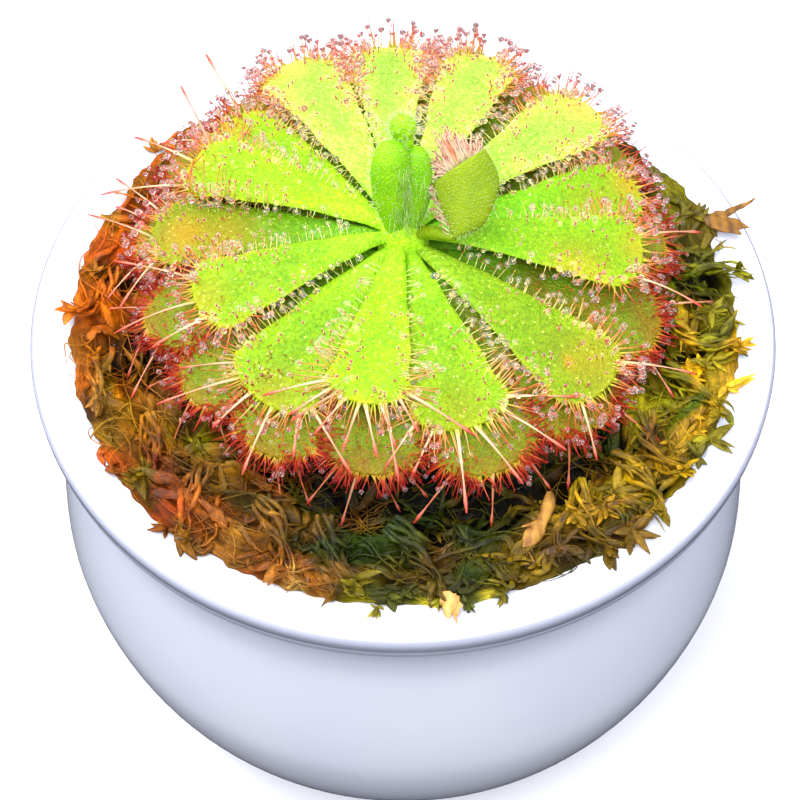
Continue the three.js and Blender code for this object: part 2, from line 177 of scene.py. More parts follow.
def place_camera():
    """The camera stands in front, 200 mm above the table's level, and looks down on the rosette."""
    lens = bpy.data.cameras.new("camera")
    lens.lens = LENS
    lens.shift_x = LENS_SHIFT
    lens.clip_start = 0.01
    camera = bpy.data.objects.new("camera", lens)
    camera.location = Vector(CAMERA_PLACE) * MM
    camera.rotation_euler = (math.radians(90 - CAMERA_DIP), 0, 0)
    bpy.context.collection.objects.link(camera)
    bpy.context.scene.camera = camera


bpy.context.scene.view_settings.view_transform = "Standard"
make_table()
make_sky()
place_lamps()
place_camera()

# ---- Pot ----
# One turned and fired stoneware pot with a round belly, a pinched neck and a thick flared lip. Its glossy
# white glaze has grey painted shade on the edge of the lip and on the neck below it, and its foot ring is
# wiped bare.
POT_SIDES = 128
POT_RADIUS = 35
POT_WALL = 3
BELLY_HEIGHT = 23.7
NECK_HEIGHT = 43.5
NECK_PINCH = 3.1
FOOT_RING = (18.6, 22.6)
FOOT_ROUND = 0.5
FOOT_RECESS = 1.4
RECESS_ROUND = 0.8
FLOOR_TOP = 4.8
# Radius and height of points up the outside of the lip: its flare, the two fine grooves thrown in its side,
# and the middle and half size of the curve that rounds its top edge.
LIP_FLARE = ((32.0, 44.6), (32.6, 46.0), (33.7, 46.8), (34.5, 47.1))
LIP_LOW_GROOVE = ((34.72, 47.25), (34.84, 47.5), (34.76, 47.62), (34.88, 47.75))
LIP_HIGH_GROOVE = ((34.95, 48.3), (34.87, 48.42), (34.98, 48.55))
LIP_EDGE = (34.25, 49.25)
LIP_EDGE_ROUND = (0.75, 0.75)
# The lip's flat top, and the middle, low end and half sizes of the oval that rounds it off on the inside.
LIP_TOP = 50.02
LIP_FLAT = (33.4, 32.6)
LIP_ROUND = (31.9, 48.1, 1.7, 1.9)
# Painted shade on the glaze: how grey it is at heights up the outside, and from what radius it is outside,
# below and on the top.
GLAZE_SHADE_AT = ((38.5, 0), (43, 0.75), (46.5, 0.8), (47.2, 1))
OUTSIDE_FROM = 31.7
TOP_EDGE_FROM = 34.6
GLAZE_TONES = screen(228, 232, 249), screen(236, 239, 252)
PAINTED_SHADE_GREY = screen(172, 175, 194)
CLAY_TONES = screen(206, 198, 186), screen(228, 222, 212)
# How many numbers each named value of a point has, where it isn't one.
VALUE_WIDTHS = {"tint": (3,), "map": (2,), "fibres": (3,)}


def packed(values, kind=np.float32):
    """The same numbers in one row, as a mesh takes them."""
    return np.asarray(values).astype(kind).ravel()


class Shape:
    """Gathers the faces of one piece, with named values at its points for its finish to read."""

    def __init__(self):
        self.points, self.faces, self.values = [], [], {}
        self.count = 0

    def add(self, points, faces, **values):
        """faces is a list of arrays, each with its own number of corners to a face. Each value is one number
        or row for all the points, or one for each."""
        points = np.asarray(points, float)
        self.points.append(points)
        self.faces += [np.asarray(part, int) + self.count for part in faces]
        self.count += len(points)
        for name, value in values.items():
            wide = VALUE_WIDTHS.get(name, ())
            self.values.setdefault(name, []).append(np.broadcast_to(value, (len(points), *wide)))

    def piece(self, name, material, slot, replaced=()):
        """Makes the mesh, in metres, lets it ride on the pot and hides the model nodes it stands for."""
        mesh = bpy.data.meshes.new(name)
        corners = np.concatenate([faces.ravel() for faces in self.faces])
        sides = np.concatenate([np.full(len(faces), faces.shape[1]) for faces in self.faces])
        mesh.vertices.add(self.count)
        mesh.vertices.foreach_set("co", packed(np.concatenate(self.points) * MM))
        mesh.loops.add(len(corners))
        mesh.loops.foreach_set("vertex_index", packed(corners, np.int32))
        mesh.polygons.add(len(sides))
        mesh.polygons.foreach_set("loop_start", packed(np.cumsum(sides) - sides, np.int32))
        for key, values in self.values.items():
            values = np.concatenate(values)
            if key == "map":
                layer = mesh.uv_layers.new(name="OFBake")
                layer.data.foreach_set("uv", packed(values[corners]))
            else:
                kind, part = ("FLOAT", "value") if values.ndim == 1 else ("FLOAT_VECTOR", "vector")
                layer = mesh.attributes.new(key, kind, "POINT")
                layer.data.foreach_set(part, packed(values))
        mesh.update(calc_edges=True)
        mesh.shade_smooth()
        mesh.materials.append(material)
        thing = bpy.data.objects.new(name, mesh)
        bpy.context.collection.objects.link(thing)
        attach(thing, "root")
        if replaced:
            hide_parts(*replaced)
        return thing


def ring_faces(rings, sides):
    """Quads that join ring to ring, each ring closed on itself."""
    ring, side = np.meshgrid(np.arange(rings - 1), np.arange(sides), indexing="ij")
    a = ring * sides + side
    b = ring * sides + (side + 1) % sides
    return np.stack([a, b, b + sides, a + sides], -1).reshape(-1, 4)


def fan_faces(sides, tip, first, flip):
    """Triangles from the ring that starts at point first to the point tip."""
    side = np.arange(sides)
    pair = (first + side, first + (side + 1) % sides)
    a, b = pair[::-1] if flip else pair
    return np.stack([a, b, np.full(sides, tip)], -1)


def volume_sign(points, triangles):
    """1 where the triangles of a closed body face outwards, -1 where they face inwards."""
    a, b, c = (points[triangles[:, k]] - points.mean(0) for k in range(3))
    return np.sign((np.cross(a, b) * c).sum())


def add_lofts(shape, rings, tips, **values):
    """Closed bodies through rings of shape (bodies, rows, sides, 3), closed at tips of shape (bodies, 2, 3).
    Each value spreads to the shape of rings without its last axis, with one axis more for a tint or a map."""
    bodies, rows, sides = rings.shape[:3]
    last = rows * sides
    start = np.arange(bodies)[:, None, None] * (last + 2)
    quads = ring_faces(rows, sides)
    fans = np.concatenate([fan_faces(sides, last, 0, True), fan_faces(sides, last + 1, last - sides, False)])
    points = np.concatenate([rings.reshape(bodies, last, 3), tips], 1)
    if volume_sign(points[0], np.concatenate([quads[:, :3], quads[:, [0, 2, 3]], fans])) < 0:
        quads, fans = quads[:, ::-1], fans[:, ::-1]
    spread = {}
    for name, value in values.items():
        wide = VALUE_WIDTHS.get(name, ())
        full = np.broadcast_to(value, (bodies, rows, sides, *wide))
        both = np.concatenate([full.reshape(bodies, last, *wide), full[:, [0, -1], 0]], 1)
        spread[name] = both.reshape(bodies * (last + 2), *wide)
    faces = [(quads + start).reshape(-1, 4), (fans + start).reshape(-1, 3)]
    shape.add(points.reshape(-1, 3), faces, **spread)


def round_turn(sides):
    """Angles of the corners of a ring."""
    return np.linspace(0, 2 * math.pi, sides, endpoint=False)


def turned_rings(profile, sides):
    """Rings of a profile of (radius, height) pairs round the pot's axis."""
    profile = np.array(profile)
    angle = round_turn(sides)
    ring = np.stack([np.cos(angle), np.sin(angle)], -1)
    flat = profile[:, None, :1] * ring[None]
    height = np.broadcast_to(profile[:, None, 1:], flat.shape[:2] + (1,))
    return np.concatenate([flat, height], -1)


def belly_radius(z, base, widest, low):
    """Radius of a face of the belly, which swells from its base and draws in to the neck."""
    if z > BELLY_HEIGHT:
        return widest - NECK_PINCH * ((z - BELLY_HEIGHT) / (NECK_HEIGHT - BELLY_HEIGHT)) ** 1.5
    fall = (BELLY_HEIGHT - z) / (BELLY_HEIGHT - low)
    return base + (widest - base) * (1 - fall**1.7) ** (1 / 1.7)


def arc(centre, half, start, end, steps):
    """Points of a quarter or part of an oval, from one angle in degrees to another."""
    angles = np.radians(np.linspace(start, end, steps))
    return [(centre[0] + half[0] * math.cos(a), centre[1] + half[1] * math.sin(a)) for a in angles]


def smooth_through(points, steps):
    """A curve through the points, with steps between each two."""
    made = []
    for k in range(len(points) - 1):
        a, b, c, d = (np.array(points[max(0, min(len(points) - 1, k + n))], float) for n in (-1, 0, 1, 2))
        for t in np.linspace(0, 1, steps, endpoint=False):
            bends = (2 * a - 5 * b + 4 * c - d) * t**2 + (3 * b - a - 3 * c + d) * t**3
            made.append(tuple(0.5 * (2 * b + (c - a) * t + bends)))
    return made + [tuple(points[-1])]


def pot_profile():
    foot_inner, foot_outer = FOOT_RING
    outside_heights = [*np.linspace(FOOT_ROUND, 6, 9), *np.linspace(7.5, 42.6, 30)]
    outside = [(belly_radius(z, 23, POT_RADIUS, 0), z) for z in outside_heights]
    inner_radius = POT_RADIUS - POT_WALL
    inside = [(belly_radius(z, 20, inner_radius, FLOOR_TOP), z) for z in np.linspace(46.2, 5.2, 30)]
    recess_corner = (foot_inner - RECESS_ROUND, FOOT_RECESS - RECESS_ROUND)
    lip_middle, lip_low, lip_wide, lip_tall = LIP_ROUND
    return [
        (0.4, FOOT_RECESS),
        (10, FOOT_RECESS),
        *arc(recess_corner, (RECESS_ROUND, RECESS_ROUND), 90, 10, 4),
        *arc((foot_inner + FOOT_ROUND, FOOT_ROUND), (FOOT_ROUND, FOOT_ROUND), 180, 270, 5),
        *arc((foot_outer - FOOT_ROUND, FOOT_ROUND), (FOOT_ROUND, FOOT_ROUND), 270, 350, 5),
        *outside,
        *smooth_through([outside[-1], *LIP_FLARE], 4)[1:],
        *LIP_LOW_GROOVE,
        *LIP_HIGH_GROOVE,
        *arc(LIP_EDGE, LIP_EDGE_ROUND, -8, 90, 10),
        *[(radius, LIP_TOP) for radius in LIP_FLAT],
        *arc((lip_middle, lip_low), (lip_wide, lip_tall), 90, 180, 9),
        *inside,
        (0.4, FLOOR_TOP),
    ]


def bumped(node, height, strength, distance):
    """The direction of a surface that stands out by height, over a distance in metres."""
    return node("Bump", Height=height, Strength=strength, Distance=distance).outputs["Normal"]


def carried(node, name, part="Fac"):
    """A named value that a piece's points carry."""
    return node("Attribute", attribute_name=name).outputs[part]


def cloudy(node, place, scale, detail, rough=0.5):
    """Cloudy noise over a place. scale is how many clouds there are to the metre."""
    return node("TexNoise", Vector=place, Scale=scale, Detail=detail, Roughness=rough).outputs["Fac"]


def white_glaze():
    material, node, surface = finish_called("white_glaze")
    place = node("TexCoord").outputs["Object"]
    height = node("SeparateXYZ", Vector=place).outputs["Z"]
    cloud = cloudy(node, place, 45, 3)
    # The grey on the lip's edge and the neck is painted shade, carried by the points' edge value.
    glaze = mixed(node, carried(node, "edge"), between(node, cloud, 0.35, 0.65, *GLAZE_TONES), PAINTED_SHADE_GREY)
    clay = cloudy(node, place, 900, 5)
    bare = between(node, clay, 0.3, 0.7, *CLAY_TONES)
    foot = node("MapRange", Value=height, From_Min=0.0006, From_Max=0.001, To_Min=1.0, To_Max=0.0)
    wiped = foot.outputs["Result"]
    ripple = cloudy(node, place, 28, 1)
    surface(
        Base_Color=mixed(node, wiped, glaze, bare),
        Roughness=node("MapRange", Value=wiped, To_Min=0.09, To_Max=0.75).outputs["Result"],
        Normal=bumped(node, ripple, 0.25, 0.0006),
        Coat_Weight=0.4,
        Coat_Roughness=0.04,
    )
    return material


def make_pot():
    shape = Shape()
    rings = turned_rings(pot_profile(), POT_SIDES)
    radius, height = np.hypot(rings[..., 0], rings[..., 1]), rings[..., 2]
    outside = radius > np.where(height > 49, TOP_EDGE_FROM, OUTSIDE_FROM)
    # Painted shade: grey on the outer edge of the lip and down the neck under its overhang.
    thin = np.interp(height, *zip(*GLAZE_SHADE_AT)) * outside
    tips = np.array([[(0, 0, FOOT_RECESS), (0, 0, FLOOR_TOP)]])
    add_lofts(shape, rings[None], tips, edge=thin[None])
    shape.piece("glazed_pot", white_glaze(), "white_glaze", ["pot"])


make_pot()

# ---- Moss bed ----
# Long-fibre sphagnum, soaked and pressed in by hand round a low mound. Its fibres lie round the pot, matted
# in folds, with hollows under the leaf tips that are painted near black as shade. It is wedged in the pot,
# and its edge creeps onto the lip.
HUB = np.array([0, 4.9, 56])
BED_LEVEL = 47.5
BED_EDGE = 31.2
BED_SIDES = 500
BED_ROWS = 56
# Radius and height of the rings of the bed's hidden side, down inside the pot.
BED_WEDGED = ((19, 5.6), (30, 16), (31.4, 26), (28, 45))
# The radius that its rows of points close in to, and how far past that the last few go, as shares of the way.
BED_INNER = 13.5
BED_LAST_ROWS = (1.3, 1.55, 1.72)
# How far out the bed begins to lie on the lip.
LIP_FROM = 30.2
MOUND = 2.8
MOUND_SPREAD = 15
FIBRE_RADIUS = 23
FIBRE_LONG = 2.2
FIBRE_THICK = 0.2
# Bearing in degrees and distance from the pot's axis of each hollow, its half width and its depth.
HOLLOWS = (
    (-105, 19.6, 3.2, 2.8),
    (-84, 20.2, 3.4, 3.0),
    (-66, 21.6, 3.0, 3.0),
    (-51, 23.4, 2.2, 2.6),
    (-35, 22.4, 3.0, 2.6),
    (-41, 29.2, 1.6, 2.0),
    (-6, 26.8, 2.0, 2.4),
    (8, 28.4, 2.0, 2.0),
    (-127, 18.6, 2.6, 2.2),
    (-172, 25.4, 2.4, 2.2),
    (170, 27.5, 1.8, 1.6),
)


def grain(x, y, pitch, seed):
    """Smooth noise from about -1 to 1 with lumps of that pitch."""
    return noise.noise(Vector((x / pitch, y / pitch, seed)))


def lie(x, y):
    """A place as the fibres see it: two numbers that go round the pot with them, and one across them."""
    turn = math.atan2(y, x) + 3.6 * grain(x, y, 6.5, 2.3) / FIBRE_RADIUS
    across = math.hypot(x, y) + 3.2 * grain(x, y, 7.5, 9.1)
    return FIBRE_RADIUS * math.cos(turn), FIBRE_RADIUS * math.sin(turn), across


def folds(place, long, thick, seed):
    """Smooth noise from about -1 to 1, drawn out the way the fibres lie."""
    return noise.noise(Vector((place[0] / long, place[1] / long, place[2] / thick + seed)))


def spot(bearing, distance):
    """A place on the bed from its bearing in degrees and its distance from the pot's axis."""
    return distance * math.cos(math.radians(bearing)), distance * math.sin(math.radians(bearing))


def lip_height(radius):
    """Height of the inner rounding of the pot's lip."""
    middle, low, wide, tall = LIP_ROUND
    return low + tall * math.sqrt(max(0, 1 - ((middle - min(radius, middle)) / wide) ** 2))


def bed_level(x, y):
    """Height of the pressed bed without its folds: a low mound, and a rise to the lip."""
    rise = min(1, max(0, (math.hypot(x, y) - 24.5) / 6))
    mound = MOUND * math.exp(-((math.hypot(x, y - HUB[1]) / MOUND_SPREAD) ** 2))
    return BED_LEVEL + mound + 2.2 * rise * rise * (3 - 2 * rise)


def bed_height(x, y):
    """Height of the moss at a place."""
    place, radius = lie(x, y), math.hypot(x, y)
    relief = 0.8 * grain(x, y, 5.5, 0.3) + 0.45 * grain(x, y, 2.2, 4.1) - 0.5
    wide, middle, fine = (abs(folds(place, *size)) for size in ((6, 1.9, 0), (3, 0.8, 5), (2, 0.36, 9)))
    relief += 2.0 * wide + 1.2 * middle + 0.45 * fine
    relief *= min(1, max(0.3, (BED_EDGE - radius) / 3))
    for bearing, distance, half, depth in HOLLOWS:
        relief -= depth * math.exp(-((math.dist((x, y), spot(bearing, distance)) / half) ** 2))
    on_lip = lip_height(radius) + 0.12 if radius > LIP_FROM else 0
    return max(bed_level(x, y) + relief, on_lip)


def grey(level):
    return (level, level, level, 1)


def times(node, first, second):
    """One colour tinted by another."""
    return mixed(node, 1.0, first, second, "MULTIPLY")


def moss_finish(name, gloss, dark, lines, shine=0.25):
    """Wet moss in the colour that its points carry, which holds painted shade in the bed's hollows and the
    cords' wrinkles.
    """
    material, node, surface = finish_called(name)
    place = node("TexCoord").outputs["Object"]
    fine = cloudy(node, place, 1500, 4, 0.65)
    patch = cloudy(node, place, 300, 3)
    along = carried(node, "fibres", "Vector")
    fibres = cloudy(node, along, 1, 3, 0.6)
    shade = between(node, fine, 0.3, 0.66, grey(dark), (1.3, 1.25, 1.1, 1))
    streak = between(node, fibres, 0.34, 0.62, (0.5, 0.45, 0.36, 1), (1.3, 1.22, 1.0, 1))
    blot = between(node, patch, 0.38, 0.62, (0.66, 0.62, 0.5, 1), (1.15, 1.12, 1.0, 1))
    colour = times(node, times(node, carried(node, "tint", "Vector"), shade), blot)
    rough = node("MapRange", Value=fine, From_Min=0.35, From_Max=0.65, To_Min=gloss, To_Max=gloss + 0.35)
    surface(
        Base_Color=mixed(node, lines, colour, times(node, colour, streak)),
        Roughness=rough.outputs["Result"],
        Normal=bumped(node, mixed(node, 0.6 * lines, fine, fibres), 1.0, 0.0003),
        Specular_IOR_Level=shine,
    )
    return material


# Screen colours of moss: rust and wine on the wet side, deep green in front, gold on the sunny side.
RUST = (210, 108, 8)
BROWN = (128, 70, 6)
WINE = (116, 20, 6)
EMBER = (224, 96, 4)
OLIVE = (104, 100, 8)
BOTTLE = (48, 80, 12)
PITCH = (20, 16, 4)
GOLD = (186, 148, 8)
STRAW = (214, 176, 58)
LICHEN = (138, 140, 8)
TAN = (190, 128, 56)

# Bearing of each stretch of the bed, its spread in degrees, how light it is, and its colours.
STRETCHES = (
    (178, 34, 1.1, (RUST, EMBER, BROWN, TAN, OLIVE)),
    (-148, 20, 0.75, (RUST, WINE, BROWN, OLIVE)),
    (-122, 14, 0.7, (RUST, TAN, BROWN, OLIVE, BOTTLE)),
    (-96, 17, 0.6, (BOTTLE, OLIVE, BOTTLE, BROWN, BOTTLE)),
    (-72, 16, 0.55, (BOTTLE, OLIVE, BOTTLE, GOLD)),
    (-40, 20, 0.55, (GOLD, STRAW, LICHEN, OLIVE, BROWN)),
    (-8, 24, 2.1, (OLIVE, GOLD, BOTTLE, LICHEN)),
    (30, 22, 0.85, (OLIVE, BOTTLE, BROWN, LICHEN)),
    (95, 36, 0.8, (BROWN, OLIVE, RUST, BOTTLE)),
    (140, 22, 1.2, (RUST, GOLD, RUST, OLIVE)),
)
# Stains in the moss: bearing and distance of each, its half width, how light it is, and its colour.
STAINS = (
    (-155, 27.5, 3.0, 1.0, (164, 130, 20)),
    (-159, 29.8, 1.3, 0.35, BROWN),
    (-147, 30.8, 1.6, 1.1, EMBER),
    (-138, 29.6, 1.5, 0.9, WINE),
    (-133, 30.4, 1.3, 1.0, (156, 36, 20)),
    (-139, 26.0, 2.1, 0.4, (140, 90, 50)),
    (-128, 28.0, 2.4, 1.0, (164, 90, 24)),
    (-132, 22.8, 2.6, 0.7, OLIVE),
    (-142, 22.0, 1.2, 1.2, LICHEN),
    (-116, 22.5, 2.4, 0.9, (84, 92, 20)),
    (-124, 24.6, 2.2, 0.65, BOTTLE),
    (-111, 25.4, 2.4, 0.6, BOTTLE),
    (-101, 25.8, 2.4, 0.7, BOTTLE),
    (-121, 29.8, 1.6, 0.95, TAN),
    (-109, 30.9, 1.1, 1.3, (214, 176, 104)),
    (-96, 31.6, 1.1, 1.7, (190, 186, 30)),
    # Painted shade: this pitch-dark stain lies in the hollow under the front leaves.
    (-110, 19.5, 2.2, 0.3, PITCH),
    (-114, 28.5, 2.8, 0.85, (142, 76, 12)),
    (-104, 30.2, 1.5, 1.1, (170, 110, 40)),
    (-91, 27.5, 2.4, 0.8, OLIVE),
    (-86, 31.5, 1.1, 1.8, (206, 200, 40)),
    (-77, 31.7, 0.9, 1.6, (214, 208, 70)),
    (-76, 25.6, 3.4, 0.6, BOTTLE),
    (-61, 28.6, 2.6, 0.35, BROWN),
    (-52, 26.0, 2.0, 1.05, GOLD),
    (-40, 23.2, 1.8, 0.4, BROWN),
    (-39, 27.3, 2.4, 0.75, GOLD),
    (-32, 30.2, 1.3, 0.6, OLIVE),
    (-15, 31.0, 1.8, 1.4, STRAW),
    (-1, 28.4, 3.0, 1.3, OLIVE),
    (12, 29.5, 3.0, 1.7, BOTTLE),
    (22, 30.4, 2.4, 1.5, OLIVE),
    (164, 29.0, 2.4, 1.2, EMBER),
    (177, 29.6, 2.6, 1.15, RUST),
    (-171, 29.4, 3.2, 0.9, (166, 112, 16)),
)
# How much of its dry lightness wet moss keeps.
WET_MOSS = 0.82
STAIN_AT = np.array([spot(bearing, distance) for bearing, distance, *_ in STAINS])
STAIN_HALF = np.array([half for _, _, half, *_ in STAINS])
STAIN_COLOURS = np.array([light * np.array(screen(*colour)[:3]) for *_, light, colour in STAINS])


def apart(bearing, other):
    """Degrees from one bearing to another, the short way round."""
    return (bearing - other + 180) % 360 - 180


def moss_colour(x, y):
    """Linear colour of the moss at a place: streaks of the colours found near that bearing, run together."""
    bearing, place = math.degrees(math.atan2(y, x)), lie(x, y)
    total, weights = np.zeros(3), 1e-9
    for centre, spread, light, colours in STRETCHES:
        near = math.exp(-((apart(bearing, centre) / spread) ** 2))
        if near < 0.03:
            continue
        for order, colour in enumerate(colours):
            weight = near * math.exp(7 * folds(place, 5.5, 2.1, 3.7 * order + centre))
            total += weight * light * np.array(screen(*colour)[:3])
            weights += weight
    shift = 1.5 * grain(x, y, 3, 8.2), 1.5 * grain(x, y, 3, 5.7)
    near = 1.6 * np.exp(-((np.hypot(*(STAIN_AT - (x, y) - shift).T) / STAIN_HALF) ** 2)) ** 1.3
    return WET_MOSS * (total / weights + near @ STAIN_COLOURS) / (1 + near.sum())


def bed_edge(angle):
    """How far out the moss creeps onto the lip in a direction."""
    x, y = math.cos(angle), math.sin(angle)
    return BED_EDGE + 0.7 * grain(8 * x, 8 * y, 1, 2.7) + 0.4 * grain(30 * x, 30 * y, 1, 6.1)


def bed_rings():
    """Rings of the bed from low inside the pot, up over its edge on the lip, and in to the crown."""
    turn = round_turn(BED_SIDES)
    edge = np.array([bed_edge(angle) for angle in turn])
    around = np.stack([np.cos(turn), np.sin(turn)], -1)
    rings = [np.column_stack([around * radius, np.full(BED_SIDES, z)]) for radius, z in BED_WEDGED]
    rings.append(np.column_stack([around * (edge[:, None] - 1.5), np.full(BED_SIDES, 48.0)]))
    rings.append(np.column_stack([around * edge[:, None], [lip_height(radius) + 0.02 for radius in edge]]))
    for share in [*np.linspace(0, 1, BED_ROWS), *BED_LAST_ROWS]:
        radius = edge * (1 - share) + BED_INNER * share
        x, y = radius * around[:, 0], radius * around[:, 1] + HUB[1] * max(0, 1 - radius.min() / 20)
        rings.append(np.column_stack([x, y, [bed_height(*point) for point in zip(x, y)]]))
    return np.array(rings)


def make_bed():
    rings = bed_rings()
    # Painted shade: the bed's side down in the pot is pitch dark, and its top is darkened towards black in
    # low folds and hollows and lightened on raised folds.
    shaded_tints = np.tile(np.array(screen(*PITCH)[:3]), (*rings.shape[:2], 1))
    fibres = np.zeros(rings.shape)
    for k, n in np.ndindex(rings.shape[:2]):
        x, y, z = rings[k, n]
        fibres[k, n] = np.array(lie(x, y)) / (FIBRE_LONG, FIBRE_LONG, FIBRE_THICK)
        if k > len(BED_WEDGED):
            raised = min(1, max(0, (z - bed_level(x, y) + 0.7) / 1.4))
            shaded_tints[k, n] = moss_colour(x, y) * (0.04 + 1.3 * raised)
    shape = Shape()
    tips = np.array([[(0, 0, 5.4), (0, HUB[1], 50.4)]])
    add_lofts(shape, rings[None], tips, tint=shaded_tints[None], fibres=fibres[None])
    shape.piece("packed_moss", moss_finish("packed_moss", 0.3, 0.6, 0.9, 0.12), "moss_bed", ["moss_bed"])


make_bed()

# ---- Moss strands, tufts and threads ----
# Live and dead sphagnum lying over the bed: sodden strands run together into wrinkled cords with side
# shoots, star-shaped tufts, thin threads and flat wet shreds. Nothing holds them but their own tangle.
MAP_CELLS = 20
SHREDS = 100
SPRIG_STRANDS = 8
SPRIG_LEAVES = 6
# The way a flat strand's face is turned, a little off upright so that no strand runs along it.
FACING = (0.1, 0.15, 1)
# Bearing in degrees and distance from the pot's axis of the biggest tufts, and how long their leaves are.
BIG_TUFTS = (
    (-55, 30.2, 3.0),
    (-50, 31.2, 2.6),
    (-52, 24.0, 3.2),
    (-45, 27.0, 3.0),
    (-70, 27.5, 2.2),
    (-27, 31.0, 2.4),
    (-16, 30.8, 2.2),
    (-5, 29.8, 2.4),
    (22, 30.6, 1.8),
    (141, 31.6, 1.5),
    (-84, 30.8, 1.5),
    (-131, 31.4, 1.5),
    (-94, 31.6, 1.1),
    (-80, 31.7, 1.2),
    (-74, 31.5, 1.2),
)


def unit(vectors):
    return vectors / np.linalg.norm(vectors, axis=-1, keepdims=True)


def together(*values):
    """Values spread to one shape and stacked on a last axis."""
    return np.stack(np.broadcast_arrays(*values), -1)


def frames_along(centres, ref):
    """Forward, side and over directions at each point of curves of shape (curves, points, 3)."""
    forward = unit(np.gradient(centres, axis=1))
    side = unit(np.cross(forward, ref))
    return forward, side, np.cross(side, forward)


def add_tubes(shape, centres, wide, tall, sides, ref, **values):
    """Closed tubes round curves. wide and tall are their half sizes at each point, along and across ref."""
    forward, side, over = frames_along(centres, ref)
    turn = round_turn(sides)[:, None]
    wide, tall = (np.broadcast_to(half, centres.shape[:2])[:, :, None, None] for half in (wide, tall))
    rings = centres[:, :, None] + side[:, :, None] * wide * np.cos(turn)
    rings = rings + over[:, :, None] * tall * np.sin(turn)
    first = centres[:, 0] - forward[:, 0] * tall[:, 0, 0] * 0.6
    last = centres[:, -1] + forward[:, -1] * tall[:, -1, 0] * 0.6
    add_lofts(shape, rings, np.stack([first, last], 1), **values)


def moss_maps(centres, wide, sides):
    """Where each point of tubes is on the finish's map, a cell for each tube, and among its fibres."""
    count, steps = centres.shape[:2]
    run = np.linalg.norm(np.diff(centres, axis=1), axis=-1).cumsum(1)
    run = np.concatenate([np.zeros((count, 1)), run], 1)[:, :, None]
    round_share = abs(round_turn(sides) / math.pi - 1)[None, None]
    order = np.arange(count)[:, None, None]
    wide = np.broadcast_to(wide, (count, steps))[:, :, None]
    u = (order % MAP_CELLS + 0.05 + 0.9 * round_share) / MAP_CELLS
    v = (order // MAP_CELLS % MAP_CELLS + 0.05 + 0.9 * np.linspace(0, 1, steps)[None, :, None]) / MAP_CELLS
    fibres = together(run / FIBRE_LONG, 7.3 * order, 3 * wide * round_share / FIBRE_THICK)
    return {"map": together(u, v), "fibres": fibres}


def add_cords(shape, centres, wide, flat, sides, tint):
    """Wrinkled wet cords: tubes pushed in and out, with painted shade darker where pushed in and lighter
    where pushed out. flat is their height as a share of their width.
    """
    forward, side, over = frames_along(centres, FACING)
    count, steps = centres.shape[:2]
    turn = round_turn(sides)[:, None]
    half = np.broadcast_to(wide, (count, steps))[:, :, None, None]
    out = half * (side[:, :, None] * np.cos(turn) + over[:, :, None] * flat * np.sin(turn))
    rings = centres[:, :, None] + out
    pushed = np.empty((count, steps, sides, 1))
    shaded_tints = np.empty((count, steps, sides, 1))
    for n, k, m in np.ndindex(pushed.shape[:3]):
        x, y, z = rings[n, k, m]
        fold = noise.noise(Vector((x / 0.8, y / 0.8, z / 0.8 + n)))
        crease = noise.noise(Vector((x / 0.36, y / 0.36, z / 0.36 + 9 * n)))
        pushed[n, k, m] = 1 + 0.5 * fold + 0.38 * crease
        # Painted shade in the wrinkles, following the same folds that push the surface.
        shaded_tints[n, k, m] = min(1.6, max(0.3, 0.95 + 0.7 * fold + 0.5 * crease))
    first = centres[:, 0] - forward[:, 0] * half[:, 0, 0] * 0.5
    last = centres[:, -1] + forward[:, -1] * half[:, -1, 0] * 0.5
    rings = centres[:, :, None] + out * pushed
    shaded_tints = shaded_tints * tint[:, :, None]
    add_lofts(shape, rings, np.stack([first, last], 1), tint=shaded_tints, **moss_maps(centres, wide, sides))


def side_shoots(centres, thick, each, length, random):
    """Short pointed shoots that leave each curve at a slant. Returns their middle lines and half widths."""
    count, steps = centres.shape[:2]
    forward, side, over = frames_along(centres, FACING)
    who = np.repeat(np.arange(count), each)
    at = (np.tile(np.linspace(0.3, 0.97, each), count) * (steps - 1)).astype(int)
    swing = np.where(np.arange(len(who)) % 2, 1.0, -1.0)[:, None] * random.uniform(0.35, 1.1, (len(who), 1))
    lift = random.uniform(-0.1, 0.55, (len(who), 1))
    heading = unit(forward[who, at] + side[who, at] * swing + over[who, at] * lift)
    reach = random.uniform(*length, len(who))[:, None, None]
    bend = np.linspace(0, 1, 5)[None, :, None]
    droop = np.array((0, 0, -0.3)) + random.normal(0, 0.12, (len(who), 1, 3))
    lines = centres[who, at][:, None] + reach * (heading[:, None] * bend + droop * bend**2)
    half = thick[who, at][:, None] * np.array([0.6, 0.75, 0.6, 0.35, 0.06])[None]
    return lines, half


def colours_along(centres, random, light=1.0):
    """Moss colour at each point of curves, with a lighter or darker cast for each curve."""
    tint = np.array([[moss_colour(*point[:2]) for point in curve] for curve in centres])
    return tint * light * random.uniform(0.75, 1.3, (len(centres), 1, 1))


